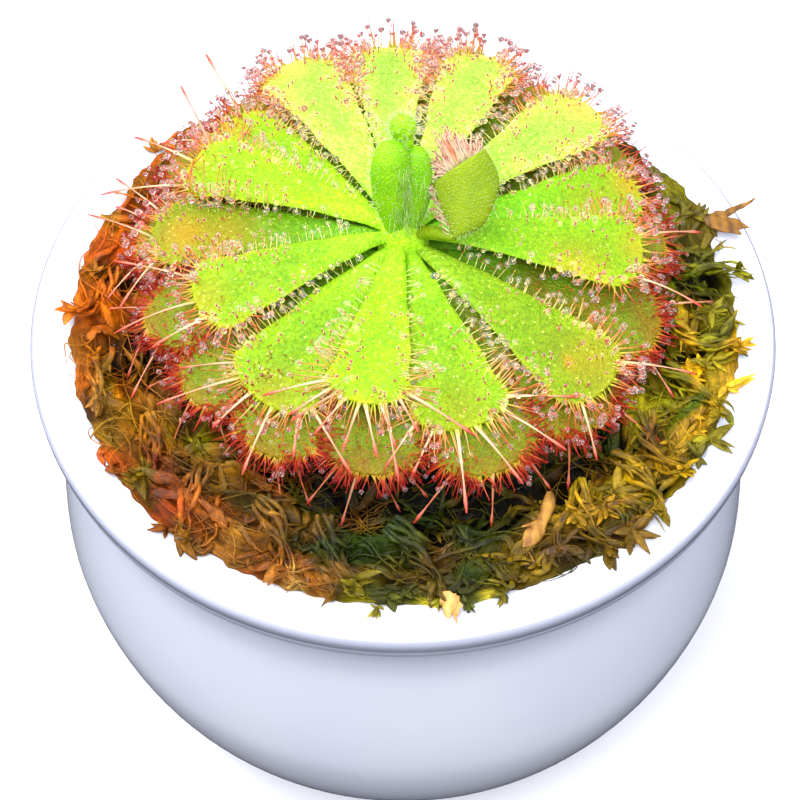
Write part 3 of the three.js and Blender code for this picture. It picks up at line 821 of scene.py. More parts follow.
def lying_curves(random, count, steps, length, wander, clear, bearings, aslant):
    """Curves lying just above the bed, with its fibres or aslant to them by an angle in radians."""
    curves = np.empty((count, steps, 3))
    for n in range(count):
        bearing = math.radians(random.choice(bearings)) + random.normal(0, 0.24)
        radius = math.sqrt(random.uniform(STRANDS_FROM**2, STRANDS_TO**2))
        x, y = radius * math.cos(bearing), radius * math.sin(bearing)
        heading = bearing + random.choice((-1, 1)) * math.pi / 2 + random.normal(0, aslant)
        step = random.uniform(*length) / (steps - 1)
        turn = random.normal(0, wander)
        rise, lift = random.uniform(*clear), random.uniform(-0.3, 0.6)
        for k in range(steps):
            share = k / (steps - 1)
            over = rise * (0.3 + math.sin(math.pi * min(1, share * 1.1))) + lift * share**2
            curves[n, k] = x, y, bed_height(x, y) + over
            heading += turn / steps + random.normal(0, wander * 0.25)
            if math.hypot(x, y) > LIP_FROM:
                heading += 0.9 * math.sin(math.atan2(-y, -x) - heading)
            x += step * math.cos(heading)
            y += step * math.sin(heading)
    curves[..., :2] *= np.minimum(1, STRANDS_END / np.hypot(curves[..., 0], curves[..., 1]))[..., None]
    curves[:, 1:-1] = (curves[:, :-2] + 2 * curves[:, 1:-1] + curves[:, 2:]) / 4
    return curves


# Bearings in degrees from which the strands of each side set out.
RUSTY_SIDE = (-100, -115, -130, -145, -160, -175, 170, 155)
GREEN_FRONT = (-120, -105, -95, -85, -75, -65)
GOLDEN_SIDE = (-62, -52, -44, -36, -28, -18, -6, 8, 22, 36)
BACK = (50, 70, 90, 110, 130, 145)
# How near the pot's axis and how far out strands set out, and how far out they may end.
STRANDS_FROM = 15
STRANDS_TO = 30.6
STRANDS_END = 31.6
# Sodden strands of each side: how many, where, how long, their half width, how much they wander, how far
# they lie aslant, and how many shoots each has.
STRANDS = (
    ("rusty", 16, RUSTY_SIDE, (5, 12), (0.1, 0.26), 0.3, 0.35, 1),
    ("green", 54, GREEN_FRONT, (4, 8), (0.1, 0.34), 1.2, 0.8, 3),
    ("golden", 62, GOLDEN_SIDE, (4, 9), (0.2, 0.46), 0.9, 1.3, 5),
    ("back", 20, BACK, (4, 9), (0.3, 0.6), 0.9, 0.7, 3),
)
STRAND_STEPS = 13
# Threads of each side: how many, where, and how far they lie aslant.
THREADS = (("rusty", 250, RUSTY_SIDE, 0.6), ("other", 230, (*GREEN_FRONT, *GOLDEN_SIDE, *BACK), 1.4))
THREAD_STEPS = 12
# Half thicknesses of threads, and the share of the threads that have each.
THREAD_THICK = (0.035, 0.06, 0.09, 0.14)
THREAD_SHARES = (0.4, 0.35, 0.18, 0.07)
# Smaller tufts scattered on each side.
TUFTS = ((GOLDEN_SIDE, 26), (BACK, 8), (RUSTY_SIDE, 3), (GREEN_FRONT, 4))


def make_strands():
    random = np.random.default_rng(29)
    finish = moss_finish("sodden_strands", 0.2, 0.38, 1.0)
    share = np.linspace(0, 1, STRAND_STEPS)
    for part, count, bearings, length, half, wander, aslant, each in STRANDS:
        curves = lying_curves(random, count, STRAND_STEPS, length, wander, (0.0, 0.7), bearings, aslant)
        swell = (0.6 + 0.55 * np.sin(math.pi * share**0.8)), (1 - 0.8 * share**4)
        wide = random.uniform(*half, (count, 1)) * swell[0] * swell[1]
        shape = Shape()
        add_cords(shape, curves, wide, 0.6, 9, colours_along(curves, random))
        lines, half = side_shoots(curves, wide, each, (1.0, 2.4), random)
        add_cords(shape, lines, half, 0.6, 6, colours_along(lines, random, 1.1))
        shape.piece(f"{part}_strands", finish, "moss_sprig")


def moss_tint(x, y, random, light):
    """The colour of a piece of moss at a place, a little lighter or darker than its neighbours."""
    return moss_colour(x, y) * light * random.uniform(0.7, 1.25)


def add_leaflets(shape, base, heading, length, half, tint, random):
    """Pointed, boat-shaped moss leaves from base along heading, curling up a little at their ends, with
    painted shade darker at their feet.
    """
    share = np.linspace(0, 1, 5)
    bend = share[None, :, None]
    curl = np.array((0, 0, 0.08)) + random.normal(0, 0.17, (len(base), 1, 3))
    lines = base[:, None] + length[:, None, None] * (heading[:, None] * bend + curl * bend**2)
    wide = half[:, None] * np.array([0.55, 0.9, 1, 0.7, 0.16])[None]
    # Painted shade: darker at each leaf's foot, lighter towards its end.
    shade = tint[:, None, None] * (0.65 + 0.5 * share)[:, None, None]
    add_tubes(shape, lines, wide, wide * 0.35, 6, FACING, tint=shade, **moss_maps(lines, wide, 6))


def make_tufts():
    random = np.random.default_rng(23)
    places = [(math.radians(bearing), radius, length) for bearing, radius, length in BIG_TUFTS]
    for bearings, count in TUFTS:
        for bearing in np.radians(random.choice(bearings, count)) + random.normal(0, 0.14, count):
            places.append((bearing, random.uniform(24, 31), random.uniform(1.3, 2.2)))
    base, heading, length, half, tint = [], [], [], [], []
    for bearing, radius, long in places:
        x, y = radius * math.cos(bearing), radius * math.sin(bearing)
        colour = moss_tint(x, y, random, 1.35)
        for _ in range(random.integers(6, 11)):
            swing, rise = bearing + random.normal(0, 1.1), random.uniform(-0.15, 0.4)
            base.append((x, y, bed_height(x, y) + random.uniform(0, 0.5)))
            level = math.cos(rise)
            heading.append((math.cos(swing) * level, math.sin(swing) * level, math.sin(rise)))
            length.append(long * random.uniform(0.6, 1.1))
            half.append(long * random.uniform(0.13, 0.25))
            tint.append(colour * random.uniform(0.75, 1.3))
    shape = Shape()
    add_leaflets(shape, *[np.array(values) for values in (base, heading, length, half, tint)], random)
    shape.piece("moss_tufts", moss_finish("moss_tufts", 0.25, 0.6, 0.7), "moss_sprig")


def make_threads():
    random = np.random.default_rng(37)
    finish = moss_finish("moss_threads", 0.25, 0.6, 0)
    for part, count, bearings, aslant in THREADS:
        curves = lying_curves(random, count, THREAD_STEPS, (4, 11), 1.2, (0.0, 0.7), bearings, aslant)
        tint = colours_along(curves, random, 1.3)[:, :, None]
        thick = random.choice(THREAD_THICK, (count, 1), p=THREAD_SHARES)
        thick = thick * (1 - 0.75 * np.linspace(0, 1, THREAD_STEPS) ** 3)
        shape = Shape()
        add_tubes(shape, curves, thick, thick, 4, FACING, tint=tint, **moss_maps(curves, thick, 4))
        shape.piece(f"{part}_threads", finish, "moss_sprig")


def make_shreds():
    random = np.random.default_rng(41)
    bearings = (*RUSTY_SIDE, *RUSTY_SIDE, *GREEN_FRONT, *GOLDEN_SIDE)
    curves = lying_curves(random, SHREDS, 9, (3, 7), 0.9, (0.0, 0.5), bearings, 0.8)
    share = np.linspace(0, 1, 9)
    wide = random.uniform(0.3, 0.8, (SHREDS, 1)) * np.sin(math.pi * (0.1 + 0.88 * share)) ** 0.7
    wide *= random.uniform(0.7, 1.2, (SHREDS, 9))
    ref = random.normal(0, 0.5, (SHREDS, 1, 3)) + (0, 0, 1)
    tint = colours_along(curves, random, 1.1)[:, :, None]
    shape = Shape()
    add_tubes(shape, curves, wide, 0.09, 6, ref, tint=tint, **moss_maps(curves, wide, 6))
    shape.piece("moss_shreds", moss_finish("moss_shreds", 0.18, 0.5, 0.8), "moss_sprig")


def node_points(node):
    """Corners of a model node's mesh, in millimetres."""
    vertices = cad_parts[node].data.vertices
    flat = np.empty(len(vertices) * 3, np.float32)
    vertices.foreach_get("co", flat)
    return flat.reshape(-1, 3) / MM


def middle_line(node, steps):
    """Points down the middle of a long, gently bent model node, from its inner end, and its half width."""
    points = node_points(node)
    middle = points.mean(0)
    axis = np.linalg.svd(points - middle)[2][0]
    place = (points - middle) @ axis
    bends = [np.polyfit(place, points[:, k], 2) for k in range(3)]
    reach = np.linspace(place.min(), place.max(), steps)
    line = together(*[np.polyval(bend, reach) for bend in bends])
    off = points - together(*[np.polyval(bend, place) for bend in bends])
    half = np.percentile(np.linalg.norm(off, axis=1), 80)
    return (line, half) if math.hypot(*line[0, :2]) < math.hypot(*line[-1, :2]) else (line[::-1], half)


def make_sprigs():
    """Each sprig is a loose rope of thin strands twisted together, with frayed, pointed ends."""
    random = np.random.default_rng(53)
    names = sorted(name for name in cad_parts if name.startswith("moss_sprig"))
    share = np.linspace(0, 1, 14)
    strands, wide, ends, headings, sizes = [], [], [], [], []
    for name in names:
        line, half = middle_line(name, 14)
        forward, side, over = (way[0] for way in frames_along(line[None], FACING))
        for k in range(SPRIG_STRANDS):
            twist = share * random.uniform(2, 5)
            turn = (k / SPRIG_STRANDS * 2 * math.pi + twist + random.normal(0, 0.4))[:, None]
            loose = half * (0.55 + 0.45 * np.sin(share * random.uniform(4, 9) + k)[:, None])
            strands.append(line + loose * (side * np.cos(turn) + 0.7 * over * np.sin(turn)))
            wide.append(half * random.uniform(0.13, 0.27) * (1 - 0.75 * share**4))
        for _ in range(SPRIG_LEAVES):
            ends.append(line[-2] + random.normal(0, 0.2, 3))
            headings.append(forward[-1] + random.normal(0, 0.35, 3) - (0, 0, 0.1))
            sizes.append(half * random.uniform(1.2, 2.0))
    strands, wide = np.array(strands), np.array(wide)
    shape = Shape()
    add_cords(shape, strands, wide, 0.8, 7, colours_along(strands, random, 1.15))
    lines, half = side_shoots(strands, wide * 1.5, 1, (1.0, 2.2), random)
    add_cords(shape, lines, half, 0.6, 6, colours_along(lines, random, 1.2))
    ends, headings, sizes = np.array(ends), unit(np.array(headings)), np.array(sizes)
    tint = np.array([moss_tint(*end[:2], random, 1.6) for end in ends])
    add_leaflets(shape, ends, headings, sizes, sizes * 0.26, tint, random)
    shape.piece("twisted_sprigs", moss_finish("twisted_sprigs", 0.2, 0.55, 0.8), "moss_sprig", names)


make_strands()
make_tufts()
make_threads()
make_shreds()
make_sprigs()

# ---- Crown ----
# The short stem in the middle, hidden by the bases of the leaves that grow from it: a low green dome of
# overlapping leaf bases over a thin root that goes down into the moss.
CROWN_RADIUS = 2.3
CROWN_SIDES = 40
CROWN_RIBS = 9
# Radius and height of points up the root and the stem, to where the dome begins, and the dome's height.
CROWN_STEM = ((0.5, 38), (0.8, 42), (1.1, 46), (1.5, 50), (CROWN_RADIUS, 52.5), (CROWN_RADIUS, 55))
CROWN_DOME = 3.3
PALE_BASE = screen(180, 240, 40)
# For each leaf finish: its fresh and deep green, the green of its cells, its blush, its tiny glands, and
# how strongly they show.
LEAF_GREENS = {
    "crown": ((206, 252, 60), (186, 240, 40), (220, 250, 90), (206, 140, 30), (226, 252, 120), 0.3),
    "young_leaf": ((166, 216, 2), (136, 200, 0), (204, 236, 20), (206, 140, 30), (226, 250, 120), 0.55),
    # Painted light: this paler green lightens the leaves at the back, where the light falls brightest.
    "lit_back_leaf": ((204, 232, 90), (170, 216, 70), (234, 248, 130), (230, 170, 90), (236, 252, 150), 0.4),
    "older_leaf": ((126, 166, 2), (150, 116, 2), (170, 186, 8), (150, 44, 8), (190, 60, 20), 0.9),
}


def leaf_green(name):
    """Sundew leaf: raised cells, tiny glands, paler at its foot and edge, blushing where its points say, and
    tinted as its points say, which on the blades is painted light and shade.
    """
    *colours, gland_share = LEAF_GREENS[name]
    fresh, deep, cell, blush, gland = (screen(*colour) for colour in colours)
    material, node, surface = finish_called(name + "_green")
    place = node("TexCoord").outputs["Object"]
    cells = node("TexVoronoi", Vector=place, Scale=3600.0, feature="F1").outputs["Distance"]
    glands = node("TexVoronoi", Vector=place, Scale=1500.0, feature="F1").outputs["Distance"]
    cloud = cloudy(node, place, 300, 4, 0.6)
    specks = cloudy(node, place, 2600, 2)
    base = between(node, cloud, 0.32, 0.66, fresh, deep)
    base = mixed(node, between(node, carried(node, "along"), 0.06, 0.42, grey(1), grey(0)), base, PALE_BASE)
    base = mixed(node, between(node, carried(node, "edge"), 0.3, 1, grey(0), grey(0.6)), base, cell)
    base = mixed(node, between(node, cells, 0.1, 0.42, grey(0.85), grey(0)), base, cell)
    shade = between(node, specks, 0.36, 0.6, (0.7, 0.78, 0.46, 1), (1.08, 1.04, 1, 1))
    base = times(node, times(node, base, shade), carried(node, "tint", "Vector"))
    base = mixed(node, between(node, glands, 0.12, 0.2, grey(gland_share), grey(0)), base, gland)
    raised = between(node, cells, 0.05, 0.6, grey(1), grey(0))
    surface(
        Base_Color=mixed(node, carried(node, "blush"), base, blush),
        Roughness=node("MapRange", Value=cloud, To_Min=0.42, To_Max=0.6).outputs["Result"],
        Normal=bumped(node, raised, 0.9, 0.00012),
        Specular_IOR_Level=0.28,
        Subsurface_Weight=0.25,
        Subsurface_Radius=(0.5, 0.9, 0.05),
        Subsurface_Scale=0.0008,
    )
    return material


def make_crown():
    low, high = CROWN_STEM[0][1], CROWN_STEM[-1][1]
    profile = [*CROWN_STEM, *arc((0, high), (CROWN_RADIUS, CROWN_DOME), 0, 82, 12)]
    rings = turned_rings(profile, CROWN_SIDES)
    ribs = 1 + 0.06 * np.cos(round_turn(CROWN_SIDES) * CROWN_RIBS) * (rings[..., 2] > 52)
    rings[..., :2] *= ribs[..., None]
    rings += (*HUB[:2], 0)
    along = np.clip((rings[None, ..., 2] - 50) / 40, 0, 1)
    shape = Shape()
    tips = np.array([[(*HUB[:2], low - 0.5), (*HUB[:2], high + CROWN_DOME + 0.05)]])
    add_lofts(shape, rings[None], tips, along=along, edge=0, blush=0, tint=(1.05, 1.05, 0.85))
    shape.piece("crown", leaf_green("crown"), "crown", ["root_crown"])


make_crown()

# ---- Leaves ----
# Two decks of wedge-shaped leaves, each a fleshy blade that widens from a narrow stalk to a round end. They
# grow from the crown one after another: the older ones underneath reach further and redden at the edge.
BLADE_ROWS = 34
BLADE_COLUMNS = 14
BLADE_THICK = 0.5
# How high a leaf of each deck arches, and how much its width is drawn out past its model's.
UPPER_BOW = 0.8
LOWER_BOW = 1.9
LOWER_SPARE = 1.2
# Where a leaf is widest, its width at its foot as a share of that, and how it widens and rounds off.
WIDEST = 0.87
FOOT_WIDTH = 0.12
WIDENING = 1.12
END_ROUND = 2.3
# Painted light and shade on each young leaf, for how light falls on it: how much its green is lightened or
# darkened, in red and in green, against the front one's.
PAINTED_LEAF_LIGHT = {
    "leaf_04": (0.7, 0.95),
    "leaf_05": (0.86, 0.92),
    "leaf_06": (0.78, 0.7),
    "leaf_07": (0.9, 0.9),
    "leaf_09": (0.88, 0.87),
    "leaf_10": (0.93, 0.88),
    "leaf_11": (0.52, 0.62),
    "leaf_12": (1.15, 1.06),
    "leaf_13": (1.15, 1.03),
}
LEAF_SHADE = np.array((0.87, 0.93, 0.96))
# The front leaf, which has no painted shadow down its middle, and the leaves at the back, which get the paler
# green of painted light.
EVEN_LEAF = "leaf_08"
LIT_BACK_LEAVES = ("leaf_01", "leaf_02", "leaf_03", "leaf_14")
# Painted shade on the old leaves, as tints from their stalks, darkened in the shade of the young leaves, to
# their ends.
OLD_LEAF_PAINTED_SHADE = {0.3: (0.34, 0.5, 0.25), 0.62: (0.52, 0.68, 0.3), 0.85: (0.76, 0.82, 0.36)}
# Old leaves whose ends have withered back, and the share of their length that is left.
WORN_ENDS = {"lower_leaf_08": 0.955, "lower_leaf_07": 0.98}
STALK_HALF = 0.62
# How far from the crown's middle a leaf starts, and the share of its length at which its end is closed.
BLADE_START = 0.9
BLADE_END = 0.9985
# Where a young leaf blushes: share of its length, share of its half width, size in millimetres, strength.
BLUSHES = {
    "leaf_03": [(0.97, 0.3, 2.6, 0.45)],
    "leaf_04": [(0.8, -0.3, 3.4, 0.3), (0.97, 0.2, 2.4, 0.6)],
    "leaf_05": [(0.72, -0.8, 3.2, 0.4), (0.97, 0.2, 2, 0.4)],
    "leaf_06": [(0.83, -0.12, 0.75, 0.75), (0.9, 0.3, 3.6, 0.32)],
    "leaf_07": [(0.92, 0, 3, 0.22)],
    "leaf_09": [(0.95, 0.2, 3, 0.3)],
    "leaf_10": [(0.97, 0, 2.4, 0.3)],
    "leaf_11": [(0.86, 0.1, 3.2, 0.6), (0.7, 0.2, 3.4, 0.4)],
    "leaf_12": [(0.98, 0, 2, 0.3)],
    "leaf_13": [(0.98, -0.2, 2.4, 0.5)],
    "leaf_14": [(0.98, 0.3, 2.2, 0.4)],
}


class Blade:
    """A leaf fitted over its model node. at(along, across) gives points on its upper face."""

    def __init__(self, name, bow, spare, random):
        flat = node_points(name) - (HUB[0], HUB[1], 0)
        self.name = name
        self.bearing = math.atan2(flat[:, 1].mean(), flat[:, 0].mean())
        forward = np.array([math.cos(self.bearing), math.sin(self.bearing)])
        reach = flat[:, :2] @ forward
        side = flat[:, :2] @ np.array([-forward[1], forward[0]])
        self.reach = (reach.max() + 0.15) * WORN_ENDS.get(name, 1)
        self.half = side.max() * spare
        self.foot = flat[reach < reach.min() + 0.1][:, 2].max()
        self.tip = flat[reach > reach.max() - 0.1][:, 2].max()
        self.bow = bow
        self.wave = random.uniform(0, 6.28, 4)
        self.sway = random.normal(0, 0.35)
        self.dome = random.uniform(0.1, 0.35)

    def share(self, along):
        """Half width at a share of the length, as a share of the greatest."""
        widen = FOOT_WIDTH + (1 - FOOT_WIDTH) * np.clip(along / WIDEST, 0, 1) ** WIDENING
        past = np.clip(along - WIDEST, 0, None) / (1 - WIDEST)
        return widen * np.sqrt(np.clip(1 - past**END_ROUND, 0, 1))

    def half_at(self, along):
        """Half width in millimetres, with a slight ripple, and never less than the stalk's."""
        ripple = 1 + 0.025 * np.sin(along * 17 + self.wave[0]) + 0.02 * np.sin(along * 31 + self.wave[1])
        stalk = STALK_HALF * (1 - 0.5 * along) * np.sqrt(np.clip(1 - along**8, 0, 1))
        return np.maximum(self.half * self.share(along) * ripple, stalk)

    def at(self, along, across):
        along, across = np.broadcast_arrays(np.asarray(along, float), np.asarray(across, float))
        out = BLADE_START + (self.reach - BLADE_START) * along
        off = across * self.half_at(along) + self.sway * along**2 * (1 - along) * 4
        line = self.foot + (self.tip - self.foot) * along + self.bow * 4 * along * (1 - along)
        line -= 0.5 * np.clip(1 - along / 0.12, 0, 1)
        spread = self.share(along)
        dish = 0.4 * spread * across**2 * np.clip(2 * along, 0, 1) - self.dome * spread * across**2
        stalk = 0.34 * (1 - across**2) * np.clip(1 - along / 0.55, 0, 1)
        groove = -0.16 * np.exp(-((across / 0.22) ** 2)) * np.clip(1 - abs(along - 0.5) / 0.4, 0, 1)
        lumps = 0.13 * np.sin(along * 13 + self.wave[2]) * np.sin(across * 4.2 + self.wave[3]) * spread
        rounded = -0.22 * across**8
        height = line + dish + stalk + groove + lumps + rounded
        c, s = math.cos(self.bearing), math.sin(self.bearing)
        return together(HUB[0] + out * c - off * s, HUB[1] + out * s + off * c, height)

    def frame_at(self, along, across):
        """Directions outwards along the leaf and across it, on its upper face, and out of it."""
        step = 0.004
        forward = unit(self.at(along + step, across) - self.at(along - step, across))
        side = unit(self.at(along, across + step) - self.at(along, across - step))
        return forward, side, unit(np.cross(forward, side))


def blade_tint(name, rows, across, older):
    """Painted shade on a leaf's green: a painted shadow down a young leaf's middle, each young leaf's own
    painted light and shade, and painted shade by an old one's stalk.
    """
    if older:
        shades = np.array(list(OLD_LEAF_PAINTED_SHADE.values()))
        return together(*[np.interp(rows, list(OLD_LEAF_PAINTED_SHADE), shade) for shade in shades.T])
    shadow = 0.22 * np.exp(-((across[None] / 0.6) ** 2)) * np.clip((rows - 0.3) / 0.4, 0, 1)
    lit = 1 - shadow[..., None] * (name != EVEN_LEAF)
    return LEAF_SHADE * np.array((*PAINTED_LEAF_LIGHT.get(name, (1, 1)), 1)) * lit


def make_blade(blade, finish, older):
    """The flesh of a leaf, thick by its stalk, its edge and tip marked for the finish."""
    along = 1 - (1 - np.linspace(0, 1, BLADE_ROWS)) ** 1.35
    along = np.clip(along, 0.002, BLADE_END)
    over = np.sin(np.linspace(-math.pi / 2, math.pi / 2, BLADE_COLUMNS))
    top = blade.at(along[:, None], over[None, :])
    thin = BLADE_THICK * np.sqrt(np.clip(1 - over**2, 0, 1)) + 0.06
    thin = thin[None] * (0.55 + 0.9 * np.clip(1 - along / 0.5, 0, 1))[:, None]
    under = top - together(0, 0, thin)
    rings = np.concatenate([top, under[:, ::-1][:, 1:-1]], 1)
    across = np.concatenate([over, over[::-1][1:-1]])
    rows = np.broadcast_to(along[:, None], rings.shape[:2])
    edge = np.maximum(abs(across)[None] ** 5 * np.clip(along * 1.6 - 0.3, 0, 1)[:, None], rows**26)
    rim_blush = 0.4 if older else 0.25
    blush = rim_blush * np.clip(np.maximum(abs(across)[None] ** 8 * rows**3, rows**30) * 1.3, 0, 1)
    for place, side, size, strength in BLUSHES.get(blade.name, []):
        gap = np.linalg.norm(rings - blade.at(place, side), axis=-1)
        blush = np.maximum(blush, strength * np.exp(-((gap / size) ** 2)))
    ends = np.stack([rings[0].mean(0), blade.at(0.9995, 0) - (0, 0, 0.1)])
    u = 0.46 * (across + 1) / 2
    u = np.where(np.arange(len(across)) < BLADE_COLUMNS, 0.02 + u, 0.98 - u)
    place_map = together(u[None], 0.02 + 0.96 * rows)
    tint = blade_tint(blade.name, rows, across, older)
    shape = Shape()
    add_lofts(shape, rings[None], ends[None], along=rows, edge=edge, blush=blush, tint=tint, map=place_map)
    shape.piece(blade.name + "_blade", finish, "older_leaf" if older else "leaf", [blade.name])


random = np.random.default_rng(71)
upper_names = sorted(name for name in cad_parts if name.startswith("leaf_"))
lower_names = sorted(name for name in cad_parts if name.startswith("lower_leaf_"))
upper_blades = [Blade(name, UPPER_BOW, 1, random) for name in upper_names]
lower_blades = [Blade(name, LOWER_BOW, LOWER_SPARE, random) for name in lower_names]
young_green = leaf_green("young_leaf")
lit_back_green = leaf_green("lit_back_leaf")
older_green = leaf_green("older_leaf")
for blade in upper_blades:
    make_blade(blade, lit_back_green if blade.name in LIT_BACK_LEAVES else young_green, False)
for blade in lower_blades:
    make_blade(blade, older_green, True)

# ---- Tentacles and dew ----
# Every leaf carries glandular hairs: short ones over its face, longer ones round its edge. Each is a fleshy
# stalk with a red gland on its end, held in a clear sticky drop. They are whitish green near the crown and
# red further out.
STALK_SIDES = 3
# How a stalk narrows from its foot, as shares of its half width, and the swell of the gland after it.
YOUNG_TAPER = (1.9, 1, 0.78, 0.55)
OLD_TAPER = (1.9, 0.85, 0.55)
GLAND_SWELL = (0.9, 1, 0.55)
# Places along a stalk, and its colours there by the crown, further out, and on old leaves.
CAST_PLACES = (0, 0.3, 0.7, 0.92)
STALK_CASTS = (
    (screen(160, 212, 30), screen(232, 240, 150), screen(244, 226, 150), screen(206, 186, 60)),
    (screen(190, 214, 40), screen(232, 156, 84), screen(220, 84, 54), screen(176, 26, 24)),
    (screen(176, 150, 30), screen(192, 60, 28), screen(166, 24, 18), screen(120, 10, 12)),
)
DEW_TINT = (1, 0.93, 0.92, 1)
# Keeps a direction from being nothing where a stalk is quite straight.
OFF_ZERO = (1e-4, 2e-4, 1e-4)


def tentacle_flesh():
    """Three casts of one stalk by tone: whitish green by the crown, orange further out, deep red when old."""
    material, node, surface = finish_called("tentacle_flesh")
    along, tone = carried(node, "along"), carried(node, "tone")
    inner, middle, outer = (ramp_of(node, along, list(zip(CAST_PLACES, colours))) for colours in STALK_CASTS)
    near = between(node, tone, 0, 0.5, grey(0), grey(1))
    far = between(node, tone, 0.5, 1, grey(0), grey(1))
    surface(
        Base_Color=mixed(node, far, mixed(node, near, inner, middle), outer),
        Roughness=0.35,
        Specular_IOR_Level=0.3,
        Subsurface_Weight=0.2,
        Subsurface_Radius=(1, 0.4, 0.2),
        Subsurface_Scale=0.0003,
    )
    return material


def dew():
    """Clear water, which lets the lamps through to what is under it."""
    material, node, surface = finish_called("dew")
    shader = surface(
        Base_Color=DEW_TINT,
        Roughness=0.0,
        IOR=1.33,
        Transmission_Weight=0.97,
        Coat_Weight=0.4,
        Coat_Roughness=0.02,
    )
    lamp_ray = node("LightPath").outputs["Is Shadow Ray"]
    mix = node("MixShader", Fac=lamp_ray, Shader=shader.outputs["BSDF"])
    tree = material.node_tree
    tree.links.new(node("BsdfTransparent").outputs["BSDF"], mix.inputs[2])
    tree.links.new(mix.outputs["Shader"], tree.nodes["Material Output"].inputs["Surface"])
    return material


def ball(rounds):
    """Points and triangles of a ball of radius 1, from an icosahedron split that many times, less one."""
    made = bmesh.new()
    bmesh.ops.create_icosphere(made, subdivisions=rounds, radius=1)
    points = np.array([v.co[:] for v in made.verts])
    faces = np.array([[v.index for v in f.verts] for f in made.faces])
    made.free()
    return points, faces


def add_balls(shape, points, faces, centres, sizes, stretch=0):
    """Copies of a ball at centres, each of its own size, their points first moved by stretch."""
    placed = centres[:, None] + (points[None] + stretch) * sizes
    corners = faces + np.arange(len(centres))[:, None, None] * len(points)
    shape.add(placed.reshape(-1, 3), [corners.reshape(-1, 3)])


DROP_POINTS, DROP_FACES = ball(2)


def bent(base, start, end, length, bend):
    """Curves that leave base along start and end up along end, at the shares in bend of their length."""
    return base[:, None] + length * (start[:, None] * bend + (end - start)[:, None] * bend**2 / 2)


def add_tentacles(flesh, drops, base, start, end, length, thick, gland, drop, tone, taper=YOUNG_TAPER):
    """Stalks that leave base along start and end up along end, each with a gland. drop is the size of its
    dew, or 0. A length, half width, gland, drop or tone may be one number for all."""
    bend = np.linspace(0, 1, len(taper))[None, :, None]
    given = (length, thick, gland, drop, tone)
    length, thick, gland, drop, tone = (np.broadcast_to(value, len(base)) for value in given)
    path = bent(base, start, end, length[:, None, None], bend)
    heading = unit(start[:, None] * (1 - bend) + end[:, None] * bend)
    club = np.linspace(0.6, 2.6, len(GLAND_SWELL))[None, :, None]
    tip = path[:, -1:] + heading[:, -1:] * gland[:, None, None] * club
    half = np.concatenate([np.outer(thick, taper), np.outer(gland, GLAND_SWELL)], 1)
    ref = unit(np.cross(start, end) + OFF_ZERO)[:, None]
    along = np.concatenate([np.linspace(0, 0.78, len(taper)), np.linspace(0.86, 1, len(GLAND_SWELL))])
    along, tone = along[None, :, None], tone[:, None, None]
    turn = np.linspace(0, 0.05, STALK_SIDES)[None, None]
    place_map = together(0.02 + 0.9 * tone + turn, 0.98 * along)
    curves = np.concatenate([path, tip], 1)
    add_tubes(flesh, curves, half, half, STALK_SIDES, ref, along=along, tone=tone, map=place_map)
    wet = drop > 0
    centre = (tip[:, 0] + tip[:, -1])[wet] / 2
    long = unit(end)[wet][:, None]
    stretch = (DROP_POINTS[None] * long).sum(-1, keepdims=True) * long * 0.12
    add_balls(drops, DROP_POINTS, DROP_FACES, centre, drop[wet][:, None, None], stretch)


def strewn(way, spread, random, shape=None):
    """Directions off way by a random amount, which grows with spread."""
    return unit(way + random.normal(0, spread, shape or way.shape))


def rim_places(blade, spacing_side, spacing_tip, start_at):
    """Places round the leaf's edge as (along, across) pairs, closer together round its end."""
    fine = 1 - (1 - start_at) * (1 - np.linspace(0, 0.99, 500)) ** 2
    edge = blade.at(fine, np.ones_like(fine))
    run = np.concatenate([[0], np.cumsum(np.linalg.norm(np.diff(edge, axis=0), axis=1))])
    gap = np.interp(fine, [start_at, 0.62, 0.82], [spacing_side, spacing_side, spacing_tip])
    count = np.cumsum(np.concatenate([[0], np.diff(run) / gap[1:]]))
    places = np.interp(np.arange(0.5, count[-1]), count, fine)
    return np.concatenate([together(places, side) for side in (-1.0, 1.0)])


def outward(blade, along, across):
    """Direction out of the leaf's outline, level with its face, and the direction out of its face."""
    side = np.sign(across)
    before = blade.at(np.clip(along - 0.003, 0, BLADE_END), side)
    after = blade.at(np.clip(along + 0.003, 0, BLADE_END), side)
    up = blade.frame_at(np.clip(along, 0.01, 0.99), across * 0.5)[2]
    return unit(np.cross(up, unit(after - before)) * side[:, None]), up


# Rows of tentacles round a leaf's rim: how far in they stand, where along it they start, their spacing by
# its sides and round its end, their length and half width, how red they get, and the share that hold a drop.
YOUNG_ROWS = (
    (0.0, 0.2, 0.66, 0.35, 2.5, 0.07, 0.66, 0.62),
    (0.4, 0.5, 0.95, 0.46, 2.1, 0.065, 0.56, 0.66),
    (0.95, 0.6, 1.5, 0.66, 1.1, 0.055, 0.4, 0.85),
)
OLD_ROWS = (
    (0.0, 0.6, 0.62, 0.15, 1.75, 0.08, 1.0, 0.3),
    (0.3, 0.65, 0.62, 0.18, 1.4, 0.078, 0.98, 0.22),
    (0.8, 0.7, 0.6, 0.24, 1.1, 0.068, 0.92, 0.12),
)


def turned_to(blade, bearing, spread):
    """1 for a leaf that points that way, less for the others. spread is in degrees."""
    return math.exp(-(apart(math.degrees(blade.bearing), bearing) ** 2) / spread**2)


def along_stalk(swing, up, angle):
    """Directions that leave the leaf's face at an angle."""
    return unit(swing * np.cos(angle)[:, None] + up * np.sin(angle)[:, None])


